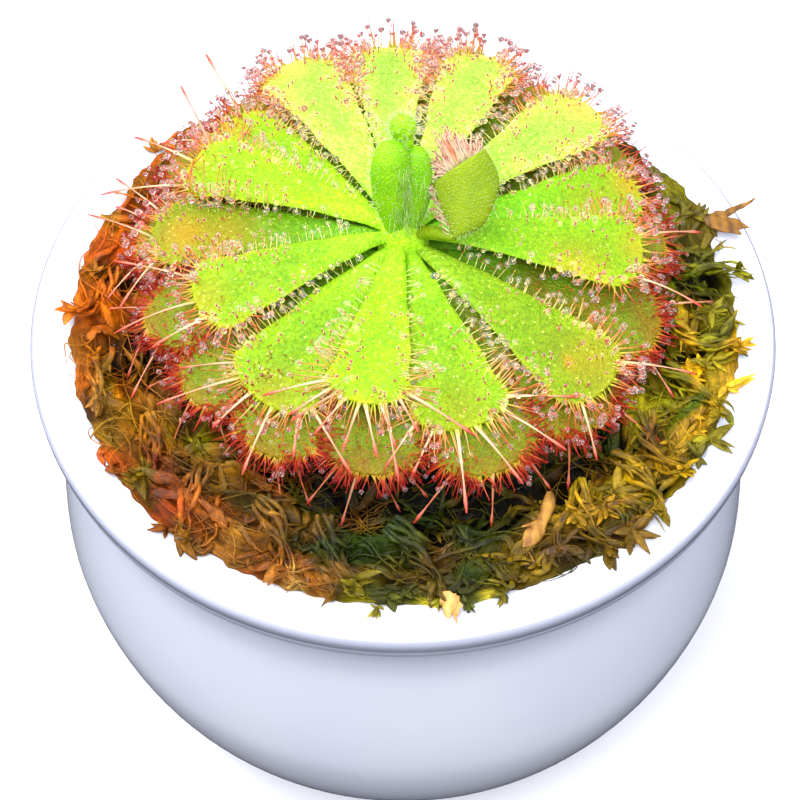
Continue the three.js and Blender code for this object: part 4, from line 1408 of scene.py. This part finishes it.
def dress_rim(blade, older, row, flesh, drops, random):
    """One row of tentacles round the leaf, longest and reddest at its end."""
    inset, start_at, spacing_side, spacing_tip, longest, thick, red, wet = row
    front, back = turned_to(blade, -95, 45), turned_to(blade, 92, 50)
    coarse = (1.5 if math.sin(blade.bearing) > 0.2 else 1) if older else 1 - 0.42 * back
    places = rim_places(blade, spacing_side * max(1, coarse), spacing_tip * coarse, start_at)
    along, side = places[:, 0], places[:, 1]
    count = len(along)
    along = np.clip(along + random.normal(0, 0.006, count) * np.clip(20 - 20 * along, 0, 1), 0.1, 0.9999)
    out, up = outward(blade, along, side)
    half = blade.half_at(np.clip(along, 0, 0.97))
    across = side * np.clip(1 - (inset + random.uniform(0, 0.3, count)) / half, 0, 1)
    base = blade.at(along - inset / blade.reach * np.clip((along - 0.8) / 0.2, 0, 1), across) - up * 0.12
    far = np.clip((along - 0.5) / 0.42, 0, 1)
    level = np.interp(far, [0, 1], [12, -4 - 12 * front] if older else [30, 8 - 8 * front])
    tilt = np.radians(level + inset * 34 + random.normal(0, 14, count))
    swing = strewn(out, 0.34 if older else 0.2, random)
    rise = tilt + np.radians(random.normal(10 - 20 * front, 16, count))
    tall = longest * (1 if older else 0.85 + 0.3 * front + 0.15 * back)
    length = np.interp(far, [0, 0.4, 1], [0.46 * tall, 0.62 * tall, tall]) * random.uniform(0.55, 1.3, count)
    stem = thick * np.interp(far, [0, 1], [0.65, 1]) * random.uniform(0.85, 1.2, count)
    gland = random.uniform(0.9, 1.25, count) * max(0.07, thick)
    share = wet * (1 - 0.65 * front if older else 1 - 0.2 * front)
    size = (0.18, 0.28) if older else (0.22, 0.35)
    drop = random.uniform(*size, count) * (random.uniform(0, 1, count) < share)
    near_tone = 0.75 * red if older else 0.05
    far_tone = red if older else red * (1 - 0.4 * front)
    tone = np.clip(near_tone + (far_tone - near_tone) * far + random.normal(0, 0.1, count), 0, 1)
    start, end = along_stalk(swing, up, tilt), along_stalk(swing, up, rise)
    taper = OLD_TAPER if older else YOUNG_TAPER
    add_tentacles(flesh, drops, base, start, end, length, stem, gland, drop, tone, taper)


def dress_face(blade, older, flesh, drops, random):
    """Short upright tentacles on the upper face, crowded towards the edge."""
    count = 60 if older else 50
    along = np.clip(1 - random.uniform(0, 1, count) ** 1.1 * (0.36 if older else 0.55), 0.1, 0.965)
    across = random.uniform(0.1, 1, count) ** 0.6 * random.choice([-1, 1], count) * 0.9
    _, _, up = blade.frame_at(along, across)
    lean = strewn(up, 0.3, random)
    base = blade.at(along, across) - up * 0.05
    tone = np.clip((0.75 if older else 0.15 + 0.6 * (along - 0.4) / 0.6) + random.normal(0, 0.1, count), 0, 1)
    length = random.uniform(0.15, 0.4, count) if older else random.uniform(0.2, 0.6, count)
    drop = random.uniform(0.15, 0.21, count) * (random.uniform(0, 1, count) < (0.1 if older else 0.85))
    gland = random.uniform(0.07, 0.09, count)
    add_tentacles(flesh, drops, base, up, lean, length, 0.05, gland, drop, tone, OLD_TAPER)


# The leaf whose near edge curls up, and the row of dry orange tentacles that stand on that edge.
CURLED_LEAF = "leaf_12"
CURLED_ROW = 17


def add_curled_row(blade, flesh, drops, random):
    """Dry tentacles, longer towards the leaf's end, that stand up and lean back over its face."""
    along = np.linspace(0.5, 0.95, CURLED_ROW) + random.normal(0, 0.008, CURLED_ROW)
    side = np.ones(CURLED_ROW)
    out, up = outward(blade, along, side)
    start = strewn(up - 0.1 * out, 0.1, random)
    end = strewn(0.6 * up - 0.9 * out, 0.2, random)
    length = np.interp(along, [0.5, 0.75, 0.95], [1.4, 2.6, 4]) * random.uniform(0.75, 1.2, CURLED_ROW)
    tone = np.clip(np.interp(along, [0.5, 0.95], [0.2, 0.6]) + random.normal(0, 0.1, CURLED_ROW), 0, 1)
    base = blade.at(along, side * 0.97) - up * 0.1
    add_tentacles(flesh, drops, base, start, end, length, 0.07, 0.07, 0, tone)


def dress_leaf(blade, older, random):
    """All the tentacles of a leaf and their drops, as two pieces."""
    flesh, drops = Shape(), Shape()
    for row in OLD_ROWS if older else YOUNG_ROWS:
        dress_rim(blade, older, row, flesh, drops, random)
    dress_face(blade, older, flesh, drops, random)
    if blade.name == CURLED_LEAF:
        add_curled_row(blade, flesh, drops, random)
    slot = "older_leaf" if older else "leaf"
    flesh.piece(blade.name + "_tentacles", tentacle_finish, slot)
    drops.piece(blade.name + "_dew", dew_finish, slot)


tentacle_finish = tentacle_flesh()
dew_finish = dew()
for older, blades in ((True, lower_blades), (False, upper_blades)):
    for blade in blades:
        dress_leaf(blade, older, random)

# How many beads of water lie on the moss, how near and far from the pot's axis, and their half sizes.
BEADS = 440
BEADS_FROM = 19
BEADS_TO = 30.4
BEAD_HALF = (0.06, 0.13)


def make_beads():
    """Fine beads of water left on the moss."""
    random = np.random.default_rng(91)
    bearing = random.uniform(0, 2 * math.pi, BEADS)
    radius = np.sqrt(random.uniform(BEADS_FROM**2, BEADS_TO**2, BEADS))
    places = together(radius * np.cos(bearing), radius * np.sin(bearing))
    centres = np.array([(x, y, bed_height(x, y) + 0.03) for x, y in places])
    shape = Shape()
    add_balls(shape, *ball(1), centres, random.uniform(*BEAD_HALF, (BEADS, 1, 1)))
    shape.piece("moss_beads", dew_finish, "moss_bed")


make_beads()

# ---- Catapult tentacles ----
# At the ends of the leaves stand a few long flat tentacles without dew, which snap inwards when an insect
# touches them: a pale ribbon that narrows outwards, with a flat red head. The oldest ones hang down below
# the lower leaves.
CATAPULT_STEPS = 9
CATAPULT_SIDES = 6
# How many each leaf has, and how many degrees they lean up or down from its face.
CATAPULTS = {
    "leaf_08": (10, 6),
    "leaf_07": (6, 2),
    "leaf_09": (6, 5),
    "leaf_10": (3, 8),
    "leaf_11": (3, 10),
    "leaf_12": (3, 20),
    "leaf_13": (2, 24),
    "leaf_06": (2, 4),
    "leaf_05": (2, 4),
    "lower_leaf_05": (2, 4),
    "lower_leaf_06": (2, -30),
    "lower_leaf_07": (3, -38),
    "lower_leaf_08": (4, -42),
    "lower_leaf_09": (4, -46),
    "lower_leaf_10": (3, -30),
    "lower_leaf_11": (3, -12),
    "lower_leaf_12": (2, 0),
}
# Shares of the length of a tentacle, and its half width and half thickness there: ribbon, hinge and head.
RIBBON = ((0, 0.26), (0.12, 0.16), (0.6, 0.07), (0.72, 0.06), (0.82, 0.17), (0.95, 0.16), (1, 0.07))
RIBBON_FLAT = ((0, 0.1), (0.12, 0.07), (0.6, 0.06), (0.76, 0.06), (0.84, 0.1), (0.95, 0.1), (1, 0.06))
# Colours along a tentacle of the upper leaves, along one of the old leaves, and of the head of both.
PALE_RIBBON = [(0, screen(196, 206, 80)), (0.16, screen(232, 208, 166)), (0.6, screen(232, 176, 136))]
RED_RIBBON = [(0, screen(190, 140, 60)), (0.16, screen(206, 130, 90)), (0.6, screen(196, 96, 66))]
RIBBON_HEAD = [(0.8, screen(224, 128, 100)), (0.92, screen(200, 74, 54))]


def catapult_flesh(name, pale, red, head):
    """Flat tentacle flesh of two casts, pale and red by tone, with the same head."""
    material, node, surface = finish_called(name)
    along = carried(node, "along")
    casts = [ramp_of(node, along, cast + head) for cast in (pale, red)]
    surface(
        Base_Color=mixed(node, carried(node, "tone"), *casts),
        Roughness=0.32,
        Subsurface_Weight=0.3,
        Subsurface_Radius=(1, 0.5, 0.4),
        Subsurface_Scale=0.0004,
    )
    return material


def add_catapults(shape, blade, count, level, random):
    """A leaf's long tentacles, at a lean in degrees. Those that hang low are red and a little shorter."""
    hanging = level <= -5
    around = np.linspace(-1, 1, count) * (1 if count > 5 else 0.55) + random.normal(0, 0.06, count)
    along = np.clip(0.998 - 0.09 * np.abs(around) ** 1.6, 0.7, 0.998)
    side = np.where(around < 0, -1.0, 1.0)
    out, up = outward(blade, along, side)
    base = blade.at(along, side * np.clip(np.abs(around) * 1.5, 0, 1) ** 0.5 * 0.9) - up * 0.15
    tilt = np.radians(level + random.normal(0, 9, count))
    swing = strewn(out, 0.12, random)
    drop = tilt - np.radians(np.abs(random.normal(10, 8, count)))
    start, end = along_stalk(swing, up, tilt + 0.15), along_stalk(swing, up, drop)
    length = random.uniform(4.6, 6.4 if hanging else 8.4, count)[:, None, None]
    share = np.linspace(0, 1, CATAPULT_STEPS)
    bend = share[None, :, None]
    curves = bent(base, start, end, length, bend)
    ribbon, flat = np.interp(share, *zip(*RIBBON)), np.interp(share, *zip(*RIBBON_FLAT))
    tone = np.clip((0.95 if hanging else 0.2) + random.normal(0, 0.2, count), 0, 1)[:, None, None]
    turn = np.linspace(0, 1, CATAPULT_SIDES)
    place_map = together(0.02 + 0.9 * tone + 0.05 * turn, 0.98 * bend)
    wide = ribbon[None] * random.uniform(0.8, 1.15, (count, 1))
    ref = up[:, None]
    add_tubes(shape, curves, wide, flat[None], CATAPULT_SIDES, ref, along=bend, tone=tone, map=place_map)


catapult_finish = catapult_flesh("catapult_flesh", PALE_RIBBON, RED_RIBBON, RIBBON_HEAD)
for blade in [*upper_blades, *lower_blades]:
    if blade.name in CATAPULTS:
        shape = Shape()
        add_catapults(shape, blade, *CATAPULTS[blade.name], random)
        shape.piece(blade.name + "_catapults", catapult_finish, "leaf")

# ---- Young leaves and flower stalk ----
# Over the crown stand the youngest leaf, folded along its midrib with its halves pressed together, a short
# flower stalk behind it with a round head of buds, and a half-open leaf, a pouch with a hairy back.
HAIR_STEPS = 3
HAIR_SIDES = 3
# Each half of the folded leaf: its side, its foot, its top, its half width and its half depth. Then how a
# half swells at shares of its length, the rows and sides of its loft, and its hairs.
FOLDED_HALVES = (
    (-1, (-0.6, 4.3, 56.9), (-0.95, 6.9, 66.0), 1.9, 1.45),
    (1, (0.7, 4.5, 56.9), (1.2, 7.2, 65.0), 1.4, 1.3),
)
SWELL_PLACES = (0, 0.12, 0.4, 0.7, 0.88, 0.96, 1)
SWELL = (0.5, 0.62, 0.93, 1, 0.86, 0.6, 0.28)
FOLDED_ROWS = 30
FOLDED_SIDES = 26
FOLDED_HAIRS = 330
# How many short tentacles stand up along the fold at the front.
FOLD_TUFT = 120
# Foot and head of the flower stalk, the buds on the head, their sizes, and the turn from one bud to the next.
STALK_FOOT = np.array((0, 6.7, 57.8))
STALK_HEAD = np.array((0, 8.7, 66.1))
BUDS = 24
HEAD_RADIUS = 1.2
BUD_RADIUS = 0.42
BUDS_OUT = 0.88
BUD_TURN = 2.399
BUD_HAIRS = 240
# The pouch: its tip, both ends of its mouth, and the line of its right side between tip and mouth.
CUP_TIP = np.array([4.6, 1.9, 58.7])
CUP_LEFT = np.array([2.6, 5.7, 61.7])
CUP_RIGHT = np.array([7.5, 7.8, 64.2])
CUP_ROUND = np.array([8.7, 6.1, 62.4])
CUP_BELLY = np.array([8.3, 4.2, 61.0])
CUP_LOW = np.array([7.0, 2.4, 59.6])
CUP_SIDES = 40
CUP_ROWS = 22
# The rows of its inner face, as shares of the way up and of the pouch's own width.
CUP_INSIDE = ((0.97, 0.9), (0.9, 0.84), (0.78, 0.78), (0.6, 0.66), (0.45, 0.4))
CUP_STALK = ((1.2, 4.4, 56.4), (2.6, 3.4, 57.8), (3.7, 2.5, 58.5))
# The way the top of a stem faces.
STEM_TOP = (0.1, 0.2, 1)
CUP_HAIRS = 760
CUP_BUNCH = 150
CUP_FRINGE = 36
# Where the pouch's tentacles reach to, for shares of the way along its mouth from left to right.
CUP_PEAK_AT = (0, 0.3, 0.55, 0.75, 1)
CUP_PEAK = ((2.2, 3.0, 2.9, 4.7, 7.1), (6.5, 7.7, 9.1, 8.8, 8.3), (62.8, 64.4, 66.2, 65.6, 64.9))
# Colours along the bunched tentacles, pale and red, and of their heads.
PALE_BUNCH = [(0, screen(232, 226, 140)), (0.3, screen(248, 220, 190)), (0.78, screen(240, 190, 166))]
RED_BUNCH = [(0, screen(236, 200, 90)), (0.3, screen(232, 130, 60)), (0.78, screen(214, 90, 40))]
BUNCH_HEAD = [(0.88, screen(206, 110, 80)), (0.95, screen(140, 24, 20))]
YOUNG_SHEEN = screen(214, 240, 80)
PAINTED_FOLD_SHADE = screen(84, 150, 10)


def young_skin(name, fresh, deep, dotted=0.45):
    """Hairy young leaf: raised cells under a nap of pale hair, with darker green painted in as shade in its
    folds and hollows.
    """
    material, node, surface = finish_called(name)
    place = node("TexCoord").outputs["Object"]
    cells = node("TexVoronoi", Vector=place, Scale=4200.0, feature="F1").outputs["Distance"]
    cloud = cloudy(node, place, 420, 3)
    base = between(node, cloud, 0.3, 0.7, fresh, deep)
    base = mixed(node, between(node, cells, 0.1, 0.4, grey(dotted), grey(0)), base, YOUNG_SHEEN)
    height = between(node, cells, 0.05, 0.6, grey(1), grey(0))
    surface(
        Base_Color=mixed(node, carried(node, "edge"), base, PAINTED_FOLD_SHADE),
        Normal=bumped(node, height, 0.7, 0.0001),
        Roughness=0.5,
        Subsurface_Weight=0.25,
        Subsurface_Radius=(0.4, 0.8, 0.1),
        Subsurface_Scale=0.0006,
        Specular_IOR_Level=0.25,
    )
    return material


def pale_hair():
    """Fine hair, yellow green or nearly white by tone, and paler towards its end."""
    material, node, surface = finish_called("pale_hair")
    along = carried(node, "along")
    green = between(node, along, 0, 1, screen(160, 210, 50), screen(214, 244, 130))
    white = between(node, along, 0, 1, screen(214, 228, 150), screen(250, 248, 232))
    surface(
        Base_Color=mixed(node, carried(node, "tone"), green, white),
        Roughness=0.5,
        Subsurface_Weight=0.3,
        Subsurface_Radius=(1, 1, 0.5),
        Subsurface_Scale=0.0005,
    )
    return material


def add_hairs(shape, base, along, lean, lengths, thick, tones, random):
    """Fine plain hairs from base, which leave it one way and end another. lengths and tones are ranges."""
    length, tone = (random.uniform(*ends, (len(base), 1, 1)) for ends in (lengths, tones))
    share = np.linspace(0, 1, HAIR_STEPS)
    bend = share[None, :, None]
    curves = bent(base, along, lean, length, bend)
    half = thick * np.linspace(1, 0.4, HAIR_STEPS)[None]
    place_map = together(0.02 + 0.9 * tone + 0.05 * np.linspace(0, 1, HAIR_SIDES), 0.98 * bend)
    ref = unit(np.cross(along, lean) + OFF_ZERO)[:, None]
    add_tubes(shape, curves, half, half, HAIR_SIDES, ref, along=bend, tone=tone, map=place_map)


def surface_spots(rings, count, random):
    """Random places on a loft, and the direction out of it there."""
    rows, sides = rings.shape[:2]
    row = random.integers(1, rows - 1, count)
    side = random.integers(0, sides, count)
    here, after = rings[row, side], rings[row, (side + 1) % sides]
    out = np.cross(after - rings[row, side - 1], rings[row + 1, side] - rings[row - 1, side])
    out = unit(out) * np.sign((out * (here - rings[row].mean(1))).sum(-1, keepdims=True))
    return here + random.uniform(0, 1, (count, 1)) * (after - here), out


def half_leaf_rings(side, foot, top, wide, deep):
    """One half of the folded leaf: a long rounded pad leaning against the other."""
    share = np.linspace(0, 1, FOLDED_ROWS)
    swell = np.interp(share, SWELL_PLACES, SWELL)[:, None]
    turn = round_turn(FOLDED_SIDES)
    middle = foot + (top - foot) * share[:, None]
    middle = middle + np.outer(np.sin(math.pi * share), (side * 0.28, -0.25, 0))
    return middle[:, None] + together(wide * swell * np.cos(turn), deep * swell * np.sin(turn), 0)


def make_folded_leaf():
    random = np.random.default_rng(83)
    skin = young_skin("folded_leaf_skin", screen(142, 202, 6), screen(112, 186, 2), 0.6)
    shape, hair = Shape(), Shape()
    for side, foot, top, wide, deep in FOLDED_HALVES:
        foot, top = np.array(foot), np.array(top)
        rings = half_leaf_rings(side, foot, top, wide, deep)
        # Painted shade: each half is darker green where it presses against the other, in the fold.
        fold = np.clip(-side * np.cos(round_turn(FOLDED_SIDES)), 0, 1) ** 1.5
        tips = np.array([[foot - (0, 0, 0.2), top + (0, 0.1, 0.1)]])
        add_lofts(shape, rings[None], tips, edge=0.25 * fold[None, None])
        base, out = surface_spots(rings, FOLDED_HAIRS, random)
        lean = strewn(out + (0, 0, 0.5), 0.3, random)
        add_hairs(hair, base, out, lean, (0.25, 0.6), 0.028, (0.2, 0.9), random)
    foot_z = random.uniform(57.2, 63.4, FOLD_TUFT)
    foot_x = random.normal(0.35, 0.75, FOLD_TUFT)
    foot_y = 4.35 + 0.265 * (foot_z - 56.9) - random.uniform(1.2, 1.6, FOLD_TUFT)
    base = together(foot_x, foot_y, foot_z)
    up = strewn((0, 0.2, 1), 0.12, random, base.shape)
    add_hairs(hair, base, up, strewn(up, 0.12, random), (0.9, 2.3), 0.026, (0, 0.45), random)
    shape.piece("folded_leaf_halves", skin, "young_leaf", ["folded_leaf"])
    hair.piece("folded_leaf_hair", hair_finish, "young_leaf")


def make_flower_stalk():
    """The stout stalk and its head: one ball set round with small buds, in even turns from top to bottom."""
    random = np.random.default_rng(89)
    skin = young_skin("flower_stalk_skin", screen(176, 236, 20), screen(140, 214, 6))
    shape, hair = Shape(), Shape()
    line = STALK_FOOT + (STALK_HEAD - STALK_FOOT) * np.linspace(0, 0.92, 10)[:, None]
    add_tubes(shape, line[None], 0.95, 0.95, 16, (1, 0, 0), edge=0)
    buds = [(STALK_HEAD, HEAD_RADIUS)]
    for k in range(BUDS):
        height = 1 - 2 * (k + 0.5) / BUDS
        flat = math.sqrt(1 - height**2)
        out = np.array((flat * math.cos(k * BUD_TURN), flat * math.sin(k * BUD_TURN), height))
        buds.append((STALK_HEAD + BUDS_OUT * out, BUD_RADIUS))
    lift = np.radians(np.linspace(-80, 80, 9))
    for centre, radius in buds:
        rings = turned_rings(np.stack([radius * np.cos(lift), radius * np.sin(lift)], -1), 14) + centre
        tips = np.array([[centre - (0, 0, radius), centre + (0, 0, radius)]])
        add_lofts(shape, rings[None], tips, edge=0)
    turn, lift = random.uniform(0, 6.28, BUD_HAIRS), np.arcsin(random.uniform(-0.7, 1, BUD_HAIRS))
    out = together(np.cos(turn) * np.cos(lift), np.sin(turn) * np.cos(lift), np.sin(lift))
    lean = strewn(out, 0.35, random)
    add_hairs(hair, STALK_HEAD + 1.15 * out, out, lean, (0.3, 0.85), 0.022, (0.4, 1), random)
    shape.piece("flower_buds", skin, "young_leaf", ["flower_stalk"])
    hair.piece("flower_bud_hair", hair_finish, "young_leaf")


def cup_section(share, depth):
    """One loop round the pouch at a share of the way from its tip to its rim, its walls bulging by depth."""
    left = CUP_TIP + (CUP_LEFT - CUP_TIP) * share
    right = np.array(smooth_through([CUP_TIP, CUP_LOW, CUP_BELLY, CUP_ROUND, CUP_RIGHT], 10))
    place = share * (len(right) - 1)
    low = min(int(place), len(right) - 2)
    right = right[low] + (right[low + 1] - right[low]) * (place - low)
    face = unit(np.cross(CUP_RIGHT - CUP_LEFT, CUP_TIP - CUP_LEFT))
    turn = round_turn(CUP_SIDES)
    half = (right - left) / 2
    bulge = depth * np.sin(turn)
    bulge = np.where(bulge > 0, bulge, bulge * 0.7)
    return (left + right) / 2 - half * np.cos(turn)[:, None] + face * bulge[:, None]


def cup_rings():
    """The pouch from its tip up to its rim, over the rim and down its inner face."""
    rings = []
    for share in np.linspace(0.02, 1, CUP_ROWS):
        rings.append(cup_section(share, 0.35 + 1.25 * math.sin(math.pi * min(1, share * 0.62 + 0.08))))
    rim = rings[-1]
    rings.append(rim + 0.12 * unit(rim - rings[-2]) - 0.02 * unit(rim - rim.mean(0)))
    for share, shrink in CUP_INSIDE:
        inside = cup_section(share, 1.1)
        rings.append(inside.mean(0) + (inside - inside.mean(0)) * shrink)
    return np.array(rings)


def make_pouch(rings, random):
    """The pouch on its stalk, its hairs, and the pale lip along the left edge of its mouth."""
    skin = young_skin("cupped_leaf_skin", screen(144, 168, 0), screen(120, 150, 0), 0.28)
    shape, hair, pale_lip = Shape(), Shape(), Shape()
    outside = CUP_ROWS + 1
    # Painted shade: the pouch's inner face is darker green, as in the shade inside it.
    edge = np.where(np.arange(len(rings)) < outside, 0, 0.5)[None, :, None]
    tips = np.array([[CUP_TIP - (0.1, 0.1, 0.15), rings[-1].mean(0)]])
    add_lofts(shape, rings[None], tips, edge=edge)
    stalk = np.array(smooth_through([*CUP_STALK, tuple(CUP_TIP + 0.15)], 5))
    half = np.linspace(0.75, 0.5, len(stalk))[None]
    add_tubes(shape, stalk[None], half, half * 0.85, 16, STEM_TOP, edge=0)
    shape.piece("cupped_leaf_pouch", skin, "young_leaf", ["cupped_leaf"])
    base, out = surface_spots(rings[:outside], CUP_HAIRS, random)
    add_hairs(hair, base, out, strewn(out, 0.7, random), (0.2, 0.5), 0.024, (0, 0.5), random)
    lip = rings[CUP_ROWS][: CUP_SIDES // 2 + 1][None]
    thick = 0.17 * np.sin(math.pi * np.linspace(0.06, 0.94, lip.shape[1]))[None] ** 0.4
    add_tubes(pale_lip, lip, thick, thick, 6, (0.3, 0.2, 1), along=0.7, tone=0.45)
    pale_lip.piece("cupped_leaf_lip", hair_finish, "young_leaf")
    hair.piece("cupped_leaf_hair", hair_finish, "young_leaf")


def make_cupped_leaf():
    """The pouch, the long tentacles bunched in its mouth, and the short ones down its left edge."""
    random = np.random.default_rng(97)
    rings = cup_rings()
    make_pouch(rings, random)
    centre = rings[CUP_ROWS - 1].mean(0)
    flesh, drops = Shape(), Shape()
    place = np.sort(random.uniform(0, 1, CUP_BUNCH))
    base = CUP_LEFT + (CUP_RIGHT - CUP_LEFT) * place[:, None]
    base = base + (centre - base) * random.uniform(0, 0.9, (CUP_BUNCH, 1)) - (0, 0, 0.3)
    peak = together(*[np.interp(place, CUP_PEAK_AT, heights) for heights in CUP_PEAK])
    aim = peak + random.normal(0, 0.22, peak.shape) - base
    start, end = strewn(aim, 0.5, random), strewn(aim, 0.5, random)
    length = np.linalg.norm(aim, axis=1) * random.uniform(0.45, 1.0, CUP_BUNCH)
    tone = np.where(abs(place - 0.58) < 0.03, 0.75, random.uniform(0, 0.12, CUP_BUNCH))
    drop = np.where(random.uniform(0, 1, CUP_BUNCH) < 0.1, 0.15, 0)
    gland = random.uniform(0.05, 0.08, CUP_BUNCH)
    add_tentacles(flesh, drops, base, start, end, length, 0.13, gland, drop, tone)
    base = CUP_TIP + (CUP_LEFT - CUP_TIP) * random.uniform(0.1, 1, (CUP_FRINGE, 1))
    base = base + random.normal(0, 0.15, base.shape)
    start = strewn((-0.8, 0.1, 0.4), 0.25, random, base.shape)
    end = strewn((-0.6, 0.4, 0.8), 0.25, random, base.shape)
    drop = np.where(random.uniform(0, 1, CUP_FRINGE) < 0.5, 0.14, 0)
    length = random.uniform(0.6, 1.5, CUP_FRINGE)
    add_tentacles(flesh, drops, base, start, end, length, 0.06, 0.07, drop, 0)
    flesh.piece("cupped_leaf_tentacles", bunch_finish, "young_leaf")
    drops.piece("cupped_leaf_dew", dew_finish, "young_leaf")


hair_finish = pale_hair()
bunch_finish = catapult_flesh("bunch_flesh", PALE_BUNCH, RED_BUNCH, BUNCH_HEAD)
make_folded_leaf()
make_flower_stalk()
make_cupped_leaf()

# ---- Dry bits ----
# What has fallen on the moss: a forked straw stem, two papery flakes of old leaf that hang over the lip,
# and a chip of bark. They lie loose.
FLAKE_STEPS = 12
FLAKE_THICK = 0.1
# Each lobe of a flake: how far it reaches along the flake, how far it veers off, and its width.
RIGHT_LOBES = ((1.08, -0.1, 0.26), (0.5, 0.1, 0.5), (0.6, 2.2, 0.62), (0.4, 2.4, 0.7))
FRONT_LOBES = ((0.78, -0.3, 0.7), (0.8, 0.45, 0.6), (1.05, -0.1, 0.16))
TWIG_STEPS = 14
# The side shoots of the twig: the step they leave it at, and how far they veer off and to which side.
TWIG_SHOOTS = ((4, 0.9), (7, -1.1), (10, 0.8))
CHIP_ROWS = 15
CHIP_SIDES = 24


def dry_paper(name, light, dark):
    """Dead plant matter, mottled and veined."""
    material, node, surface = finish_called(name)
    place = node("TexCoord").outputs["Object"]
    pores = cloudy(node, place, 900, 5, 0.7)
    veins = node("TexWave", Vector=place, Scale=260.0, Distortion=6.0, Detail=3.0).outputs["Fac"]
    base = between(node, pores, 0.3, 0.62, dark, light)
    surface(
        Base_Color=mixed(node, 0.35, base, between(node, veins, 0.2, 0.7, dark, light)),
        Normal=bumped(node, veins, 0.6, 0.00015),
        Roughness=0.62,
        Subsurface_Weight=0.15,
        Subsurface_Scale=0.0005,
    )
    return material


def make_flake(name, finish, lobes, curl, random):
    """A torn, curled flake along the model node's own middle line, made of its lobes."""
    line, half = middle_line(name, FLAKE_STEPS)
    share = np.linspace(0, 1, FLAKE_STEPS)
    shape = Shape()
    side = unit(np.cross(unit(line[-1] - line[0]), (0, 0, 1)))
    for reach, veer, width in lobes:
        off = share**1.6 * veer * half + np.sin(share * 9 + veer) * 0.1
        curve = line[0] + (line - line[0]) * reach + np.outer(off, side)
        curve = curve + np.outer(np.sin(share * 3.1) * curl, (0, 0, 1))
        wide = half * width * np.sin(math.pi * (0.14 + 0.84 * share)) ** 0.8
        wide = wide * random.uniform(0.75, 1.2, FLAKE_STEPS)
        ref = unit(np.array((0, 0, 1)) + side * 0.3)
        add_tubes(shape, curve[None], wide[None], FLAKE_THICK, 10, ref)
    shape.piece(name + "_paper", finish, "straw", [name])


def make_twig(name, finish):
    """A knotty stem along the model node's own middle line, with short side shoots."""
    line, half = middle_line(name, TWIG_STEPS)
    share = np.linspace(0, 1, TWIG_STEPS)
    line = line + together(0.25 * np.sin(share * 8), 0.2 * np.cos(share * 7), 0.12 * np.sin(share * 5))
    thick = half * (0.8 + 0.5 * np.sin(share * 11) ** 2) * np.interp(share, [0, 0.5, 1], [0.7, 1.15, 0.8])
    shape = Shape()
    add_tubes(shape, line[None], thick[None] * 1.3, thick[None] * 0.7, 8, STEM_TOP)
    steps = np.linspace(0, 1, 6)[:, None]
    for k, veer in TWIG_SHOOTS:
        heading = unit(line[k + 1] - line[k])
        side = unit(np.cross(heading, (0, 0, 1))) * veer
        shoot = line[k] + heading * steps * 1.6 + side * steps * 1.3 + np.array((0, 0, 0.5)) * steps
        narrow = half * (1.2 - steps.T)
        add_tubes(shape, shoot[None], narrow * 0.75, narrow * 0.35, 6, STEM_TOP)
    shape.piece(name + "_stem", finish, "straw", [name])


def make_chip(name, finish, random):
    """A rough, rounded chip that fills its model node, measured along the node's own three axes."""
    points = node_points(name)
    middle = points.mean(0)
    axes = np.linalg.svd(points - middle)[2]
    size = np.abs((points - middle) @ axes.T).max(0)
    height = np.radians(np.linspace(-84, 84, CHIP_ROWS))[:, None]
    turn = round_turn(CHIP_SIDES)[None]
    flat = np.cos(height) ** 0.6
    around = (flat * np.cos(turn) * size[1], flat * np.sin(turn) * size[2] * 0.8)
    rings = together(np.sin(height) * size[0], *around)
    ribs = 0.07 * np.sin(turn * 5)[..., None]
    rings = rings * (1 + ribs + random.normal(0, 0.025, (CHIP_ROWS, CHIP_SIDES, 1)))
    tips = np.array([[-size[0], 0, 0], [size[0], 0, 0]]) @ axes + middle
    shape = Shape()
    add_lofts(shape, (rings @ axes + middle)[None], tips[None])
    shape.piece(name + "_bark", finish, "bark", [name])


random = np.random.default_rng(101)
straw_finish = dry_paper("dry_paper", screen(230, 178, 102), screen(192, 122, 48))
amber_finish = dry_paper("amber_paper", screen(156, 104, 18), screen(74, 48, 2))
make_flake("dry_flake_right", amber_finish, RIGHT_LOBES, 0.35, random)
make_flake("dry_flake_front", straw_finish, FRONT_LOBES, 0.2, random)
make_twig("dry_twig", dry_paper("straw_stem", screen(196, 146, 56), screen(112, 58, 18)))
make_chip("bark_chip", dry_paper("bark", screen(128, 92, 56), screen(50, 30, 16)), random)

bpy.context.view_layer.update()
